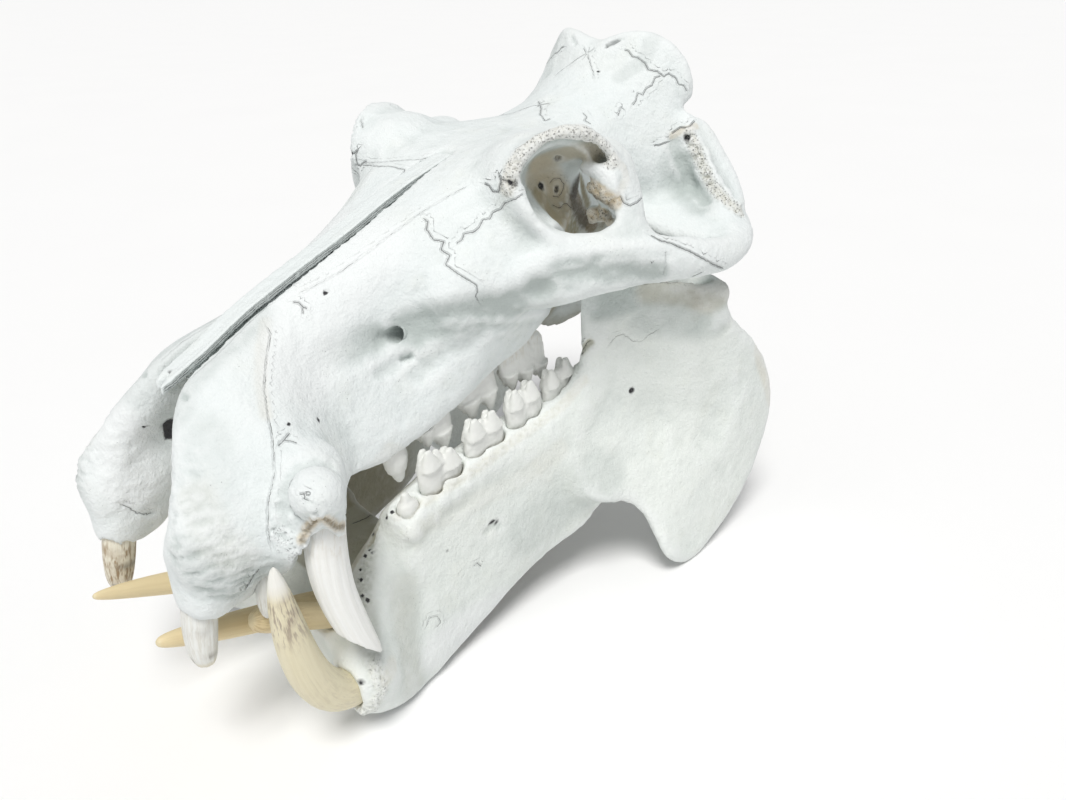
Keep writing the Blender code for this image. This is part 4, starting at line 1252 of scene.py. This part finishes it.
def lengthwise(piece, rows):
    """Stores how far along and around the tooth each point lies. Gives the points, their way out from the
    middle line across it, and their share along it."""
    line = np.array([place(*row) for row in smooth_line([row[:3] for row in rows], 60)])
    points = points_of(piece)
    nearest = np.argmin(((points[:, None] - line[None])**2).sum(2), axis=1)
    ahead = np.gradient(line, axis=0)[nearest]
    ahead /= np.linalg.norm(ahead, axis=1)[:, None]
    offset = points - line[nearest]
    slide = np.einsum("ij,ij->i", offset, ahead)
    lengths = np.concatenate([[0], np.cumsum(np.linalg.norm(np.diff(line, axis=0), axis=1))])
    second = np.cross(ahead, (1.0, 0.0, 0.0))
    around = np.stack([offset[:, 0], np.einsum("ij,ij->i", offset, second)], 1)
    around /= np.maximum(np.linalg.norm(around, axis=1), 1e-6)[:, None]
    store_vectors(piece, lengthwise=np.column_stack([around * STRIPE_RADIUS, lengths[nearest] + slide]))
    return points, around, nearest / (len(line) - 1)


def ridges(points, around, share, count, depth, seed):
    """Lifts low ridges that run the length of the tooth."""
    angle = np.arctan2(around[:, 1], around[:, 0])
    wave = np.sin(angle * count + 2.0 * np.sin(share * 5 + seed)) * 0.6
    wave += np.sin(angle * (count * 2 + 3) + seed) * 0.4
    away = points - points.mean(0)
    away[:, 2] *= 0.2
    away /= np.maximum(np.linalg.norm(away, axis=1), 1e-9)[:, None]
    return points + away * (wave * depth * MM)[:, None]


def make_long_tooth(rows, side, node, material, slot, looks, ridge, cut=None, stains=(), cracks=(), tip=0.95,
                    deep=0.16):
    """One tusk or incisor. Stains, cracks and the tip are given as shares of its length, the ridges as their
    number and height, and a cut as the plane at which the end has been ground away or broken off."""
    rows = [(side * x, y, z, fore, across) for x, y, z, fore, across in rows]
    piece = grow_tooth(f"{node}_grown", rows, looks.tusk_sides)
    modify(piece, "SUBSURF", levels=2, render_levels=2)
    if cut:
        spot, out = cut
        with editing(piece):
            bpy.ops.mesh.bisect(plane_co=place(side * spot[0], *spot[1:]),
                                plane_no=REST.to_3x3() @ Vector((side * out[0], *out[1:])),
                                use_fill=True, clear_outer=True)
        round_off(piece, 0.0016, 3, 40)
        resurface(piece, 0.0011, 2)
    points, around, share = lengthwise(piece, rows)
    put_points(piece, ridges(points, around, share, ridge, deep, side))
    stain = np.zeros(len(points))
    for start, end, strength in stains:
        middle, half = (start + end) / 2, (end - start) / 2
        stain = np.maximum(stain, strength * np.clip(1.8 * (1 - np.abs(share - middle) / half), 0, 1))
    wave = CRACK_WAVE * np.sin(np.arctan2(around[:, 1], around[:, 0]) * 2 + side)
    crack = np.zeros(len(points))
    for spot in cracks:
        crack = np.maximum(crack, np.clip(1 - np.abs(share + wave - spot) / CRACK_WIDTH, 0, 1))
    store(piece, stain=stain, white=ramp(share, tip, TIP_FADE), crack=crack)
    settle(piece, material, slot, node)


def make_tusks(looks):
    """The four canines. The upper ones are ground down to a slanting end, the right lower one is a stump."""
    white = tooth_material("ridged_white_enamel", (0.88, 0.885, 0.86), (0.60, 0.53, 0.42),
                           (0.84, 0.83, 0.78), 0.3)
    stained = tooth_material("streaked_tusk_ivory", tuple(looks.tusk_colour), (0.22, 0.15, 0.13),
                             (0.84, 0.83, 0.78), 0.5)
    for side, word, lower, stains in (
        (1, "left", LOWER_CANINE, ((0.70, 0.90, 0.6), (0.12, 0.6, 0.13))),
        (-1, "right", LOWER_CANINE_WORN, ()),
    ):
        make_long_tooth(UPPER_CANINE, side, f"upper_{word}_canine", white, "white_enamel", looks, 11,
                        cut=UPPER_CANINE_SLANT, stains=((0.05, 0.4, 0.25),), deep=0.36)
        make_long_tooth(lower, side, f"lower_{word}_canine", stained, "stained_ivory", looks, 5,
                        stains=stains, tip=0.86)


def make_incisors(looks):
    """The eight incisors."""
    white = tooth_material("striped_white_enamel", tuple(looks.enamel_colour), (0.42, 0.35, 0.25),
                           (0.74, 0.70, 0.58), 0.6)
    aged = tooth_material("aged_incisor_enamel", (0.78, 0.74, 0.62), (0.30, 0.20, 0.10),
                          (0.55, 0.42, 0.24), 0.7)
    cream = tooth_material("cream_incisor_ivory", tuple(looks.ivory_colour), (0.42, 0.29, 0.13),
                           (0.78, 0.68, 0.45), 0.3)
    for side, word, upper, upper_stain, upper_second, lower_first, lower_second in (
        (1, "left", white, 0.2, UPPER_INCISOR_2, LOWER_INCISOR_1, LOWER_INCISOR_2),
        (-1, "right", aged, 0.9, UPPER_INCISOR_2_RIGHT, LOWER_INCISOR_1_RIGHT, LOWER_INCISOR_2_RIGHT),
    ):
        make_long_tooth(UPPER_INCISOR_1, side, f"upper_{word}_first_incisor", upper, "white_enamel", looks, 8,
                        cracks=(0.60, 0.84), tip=0.88, stains=((0.3, 1.0, upper_stain),))
        make_long_tooth(upper_second, side, f"upper_{word}_second_incisor", upper, "white_enamel", looks, 7,
                        stains=((0.4, 1.1, 0.4),))
        make_long_tooth(lower_first, side, f"lower_{word}_first_incisor", cream, "cream_ivory", looks, 7,
                        tip=0.9, stains=((0.05, 0.5, 0.2),))
        make_long_tooth(lower_second, side, f"lower_{word}_second_incisor", cream, "cream_ivory", looks, 7,
                        stains=((0.35, 1.1, 0.45),))


# Cheek teeth: node, x, pairs of cusps as y, z of the top, half width fore and aft, and z of the gum

UPPER_CHEEK = (
    ("second_premolar", 60, ((186, -43, 10.5),), 8),
    ("third_premolar", 60, ((215, -28, 10), (230, -38, 12)), 9),
    ("fourth_premolar", 60, ((262, -29, 12), (281, -31, 11.5)), 9),
    ("molar", 60, ((307, -28, 10), (324, -33, 10), (341, -35, 10)), 10),
)
LOWER_CHEEK = (
    ("second_premolar", 75, ((177, -43, 9),), -74),
    ("third_premolar", 75, ((202, -20, 11), (221, -29, 12)), -72),
    ("fourth_premolar", 75, ((249, -20, 11.5), (267, -22, 11.3)), -70),
    ("first_molar", 75, ((294, -18, 10), (312, -19, 11)), -68),
    ("second_molar", 75, ((337, -21, 9.5), (355, -19, 10)), -62),
)


def cusps(side, x, rows, up):
    """Cones of a crown, as the middle of the base, half widths and height: a pair across the jaw for every
    lobe, and a small one between lobes. A crown with one lobe has a single cone."""
    made = []
    for i, (y, top, half) in enumerate(rows):
        single = len(rows) == 1
        for across, lower in ((0, 0),) if single else ((-3.2, 1.5), (3.4, 0)):
            size = (7.4, half, 20) if single else (5.6, half * 0.86, 16)
            made.append(((side * (x + across), y, top - up * (size[2] - 0.5 + lower)), size))
        if i + 1 < len(rows):
            made.append(((side * x, (y + rows[i + 1][0]) / 2, top - up * 17), (5.4, 6.5, 12)))
    return made


def make_crown(node, side, x, rows, gum, up, material, looks):
    """One cheek tooth: its solid with a flattened crown, cones for the cusps and a stain along the gum."""
    piece = copy_of(node, f"{node}_crown")
    turn = np.array(REST)
    own = own_axes(points_of(piece))
    top = up * max(up * row[1] for row in rows) * MM
    over = np.clip(up * (own[:, 2] - (top - up * 0.010)), 0, None)
    own[:, 2] -= up * over * 0.5
    put_points(piece, own @ turn[:3, :3].T + turn[:3, 3])
    point_up(piece, cusps(side, x, rows, up), up)
    resurface(piece, looks.tooth_grid, 3)
    points, out = points_of(piece), outward(piece)
    lift = np.array([noise.fractal(Vector(p) / 0.005, 0.8, 2.0, 3) for p in points])
    points += out * (lift * 0.00045)[:, None]
    put_points(piece, points)
    store_vectors(piece, lengthwise=points)
    height = up * (own_axes(points)[:, 2] / MM - gum)
    reach = up * (top / MM - gum)
    valley = 1 - np.abs(out @ turn[:3, 2])
    none = np.zeros(len(points))
    store(piece, stain=0.7 * np.clip(1 - 2.6 * height / reach, 0, 1) * valley, white=none, crack=none)
    settle(piece, material, "white_enamel", node)


def make_cheek_teeth(looks):
    """The premolars and molars: their solids with the cusps of the crowns."""
    enamel = tooth_material("cheek_tooth_enamel", tuple(looks.enamel_colour), (0.55, 0.50, 0.38),
                            (0.86, 0.87, 0.85), 0.08, 0.3)
    for jaw, kinds, up in (("upper", UPPER_CHEEK, -1), ("lower", LOWER_CHEEK, 1)):
        for side, word in ((1, "left"), (-1, "right")):
            for kind, x, rows, gum in kinds:
                make_crown(f"{jaw}_{word}_{kind}", side, x, rows, gum, up, enamel, looks)


# Stage

def make_stage():
    """A pale floor, soft light from the whole sky with one wide key light, and the photo's view."""
    deselect()
    bpy.ops.mesh.primitive_plane_add(size=60.0, location=(0, 0, -0.0005))
    floor = bpy.context.object
    floor.name = "pale_floor"
    s = Shader("pale_floor", 0.9)
    grey = s.mix(s.noise(s.here(), 3.0), (0.96, 0.96, 0.96), (0.94, 0.94, 0.94))
    s.finish(grey, s.noise(s.here(), 20.0) * 0.1 + 0.85, s.noise(s.here(), 60.0), 0.0001, 0.1)
    floor.data.materials.append(s.material)
    world = bpy.data.worlds.new("soft_studio")
    world.use_nodes = True
    sky = world.node_tree.nodes["Background"]
    sky.inputs["Color"].default_value = (0.97, 0.98, 1.0, 1.0)
    sky.inputs["Strength"].default_value = 0.38
    bpy.context.scene.world = world
    sun = bpy.data.lights.new("key_light", "SUN")
    sun.angle = math.radians(24.0)
    sun.energy = 2.4
    sun.color = (1.0, 0.99, 0.97)
    light = added("key_light", sun)
    light.location = (0, 0, 2)
    light.rotation_euler = Vector((-0.32, 0.42, -1.0)).to_track_quat("-Z", "Y").to_euler()
    lens = bpy.data.cameras.new("photo_view")
    lens.sensor_width = 36.0
    lens.lens = VIEW_FOCUS / VIEW_WIDTH * 36.0
    lens.clip_start = 0.01
    camera = added("photo_view", lens)
    camera.matrix_world = CAMERA
    bpy.context.scene.camera = camera
    bpy.context.scene.view_settings.view_transform = "Standard"


class SKULL_OT_cranium(bpy.types.Operator):
    """Resurface the cranium and draw its seams, holes and stains"""
    bl_idname = "skull.cranium"
    bl_label = "Cranium"
    bl_options = {"REGISTER", "UNDO"}

    def execute(self, context):
        make_cranium(context.scene.skull_looks)
        return {"FINISHED"}


class SKULL_OT_nose_bones(bpy.types.Operator):
    """Lay the long pair of nose bones in their slot"""
    bl_idname = "skull.nose_bones"
    bl_label = "Nose bones"
    bl_options = {"REGISTER", "UNDO"}

    def execute(self, context):
        make_nose_bones(context.scene.skull_looks)
        return {"FINISHED"}


class SKULL_OT_jaw(bpy.types.Operator):
    """Resurface the lower jaw and draw its holes and stains"""
    bl_idname = "skull.jaw"
    bl_label = "Lower jaw"
    bl_options = {"REGISTER", "UNDO"}

    def execute(self, context):
        make_jaw(context.scene.skull_looks)
        return {"FINISHED"}


class SKULL_OT_tusks(bpy.types.Operator):
    """Grow the four canine tusks"""
    bl_idname = "skull.tusks"
    bl_label = "Tusks"
    bl_options = {"REGISTER", "UNDO"}

    def execute(self, context):
        make_tusks(context.scene.skull_looks)
        return {"FINISHED"}


class SKULL_OT_incisors(bpy.types.Operator):
    """Grow the eight incisors"""
    bl_idname = "skull.incisors"
    bl_label = "Incisors"
    bl_options = {"REGISTER", "UNDO"}

    def execute(self, context):
        make_incisors(context.scene.skull_looks)
        return {"FINISHED"}


class SKULL_OT_cheek_teeth(bpy.types.Operator):
    """Shape the crowns of the premolars and molars"""
    bl_idname = "skull.cheek_teeth"
    bl_label = "Cheek teeth"
    bl_options = {"REGISTER", "UNDO"}

    def execute(self, context):
        make_cheek_teeth(context.scene.skull_looks)
        return {"FINISHED"}


class SKULL_OT_stage(bpy.types.Operator):
    """Lay the floor and set the light and the camera"""
    bl_idname = "skull.stage"
    bl_label = "Stage"
    bl_options = {"REGISTER", "UNDO"}

    def execute(self, context):
        make_stage()
        return {"FINISHED"}


OPERATORS = (
    SKULL_OT_cranium, SKULL_OT_nose_bones, SKULL_OT_jaw, SKULL_OT_tusks, SKULL_OT_incisors,
    SKULL_OT_cheek_teeth, SKULL_OT_stage,
)


class SKULL_PT_panel(bpy.types.Panel):
    """Sizes and colours of the skull, and the steps that build it"""
    bl_idname = "SKULL_PT_panel"
    bl_label = "Skull"
    bl_space_type = "VIEW_3D"
    bl_region_type = "UI"
    bl_category = "Skull"

    def draw(self, context):
        looks = context.scene.skull_looks
        for name in looks.bl_rna.properties.keys():
            if name not in ("rna_type", "name"):
                self.layout.prop(looks, name)
        for operator in OPERATORS:
            self.layout.operator(operator.bl_idname)


CLASSES = (SkullLooks, *OPERATORS, SKULL_PT_panel)


def register():
    for kind in CLASSES:
        bpy.utils.register_class(kind)
    bpy.types.Scene.skull_looks = PointerProperty(type=SkullLooks)


def unregister():
    del bpy.types.Scene.skull_looks
    for kind in reversed(CLASSES):
        bpy.utils.unregister_class(kind)


def main():
    register()
    bpy.ops.skull.cranium()
    bpy.ops.skull.nose_bones()
    bpy.ops.skull.jaw()
    bpy.ops.skull.tusks()
    bpy.ops.skull.incisors()
    bpy.ops.skull.cheek_teeth()
    bpy.ops.skull.stage()


if __name__ == "__main__":
    main()
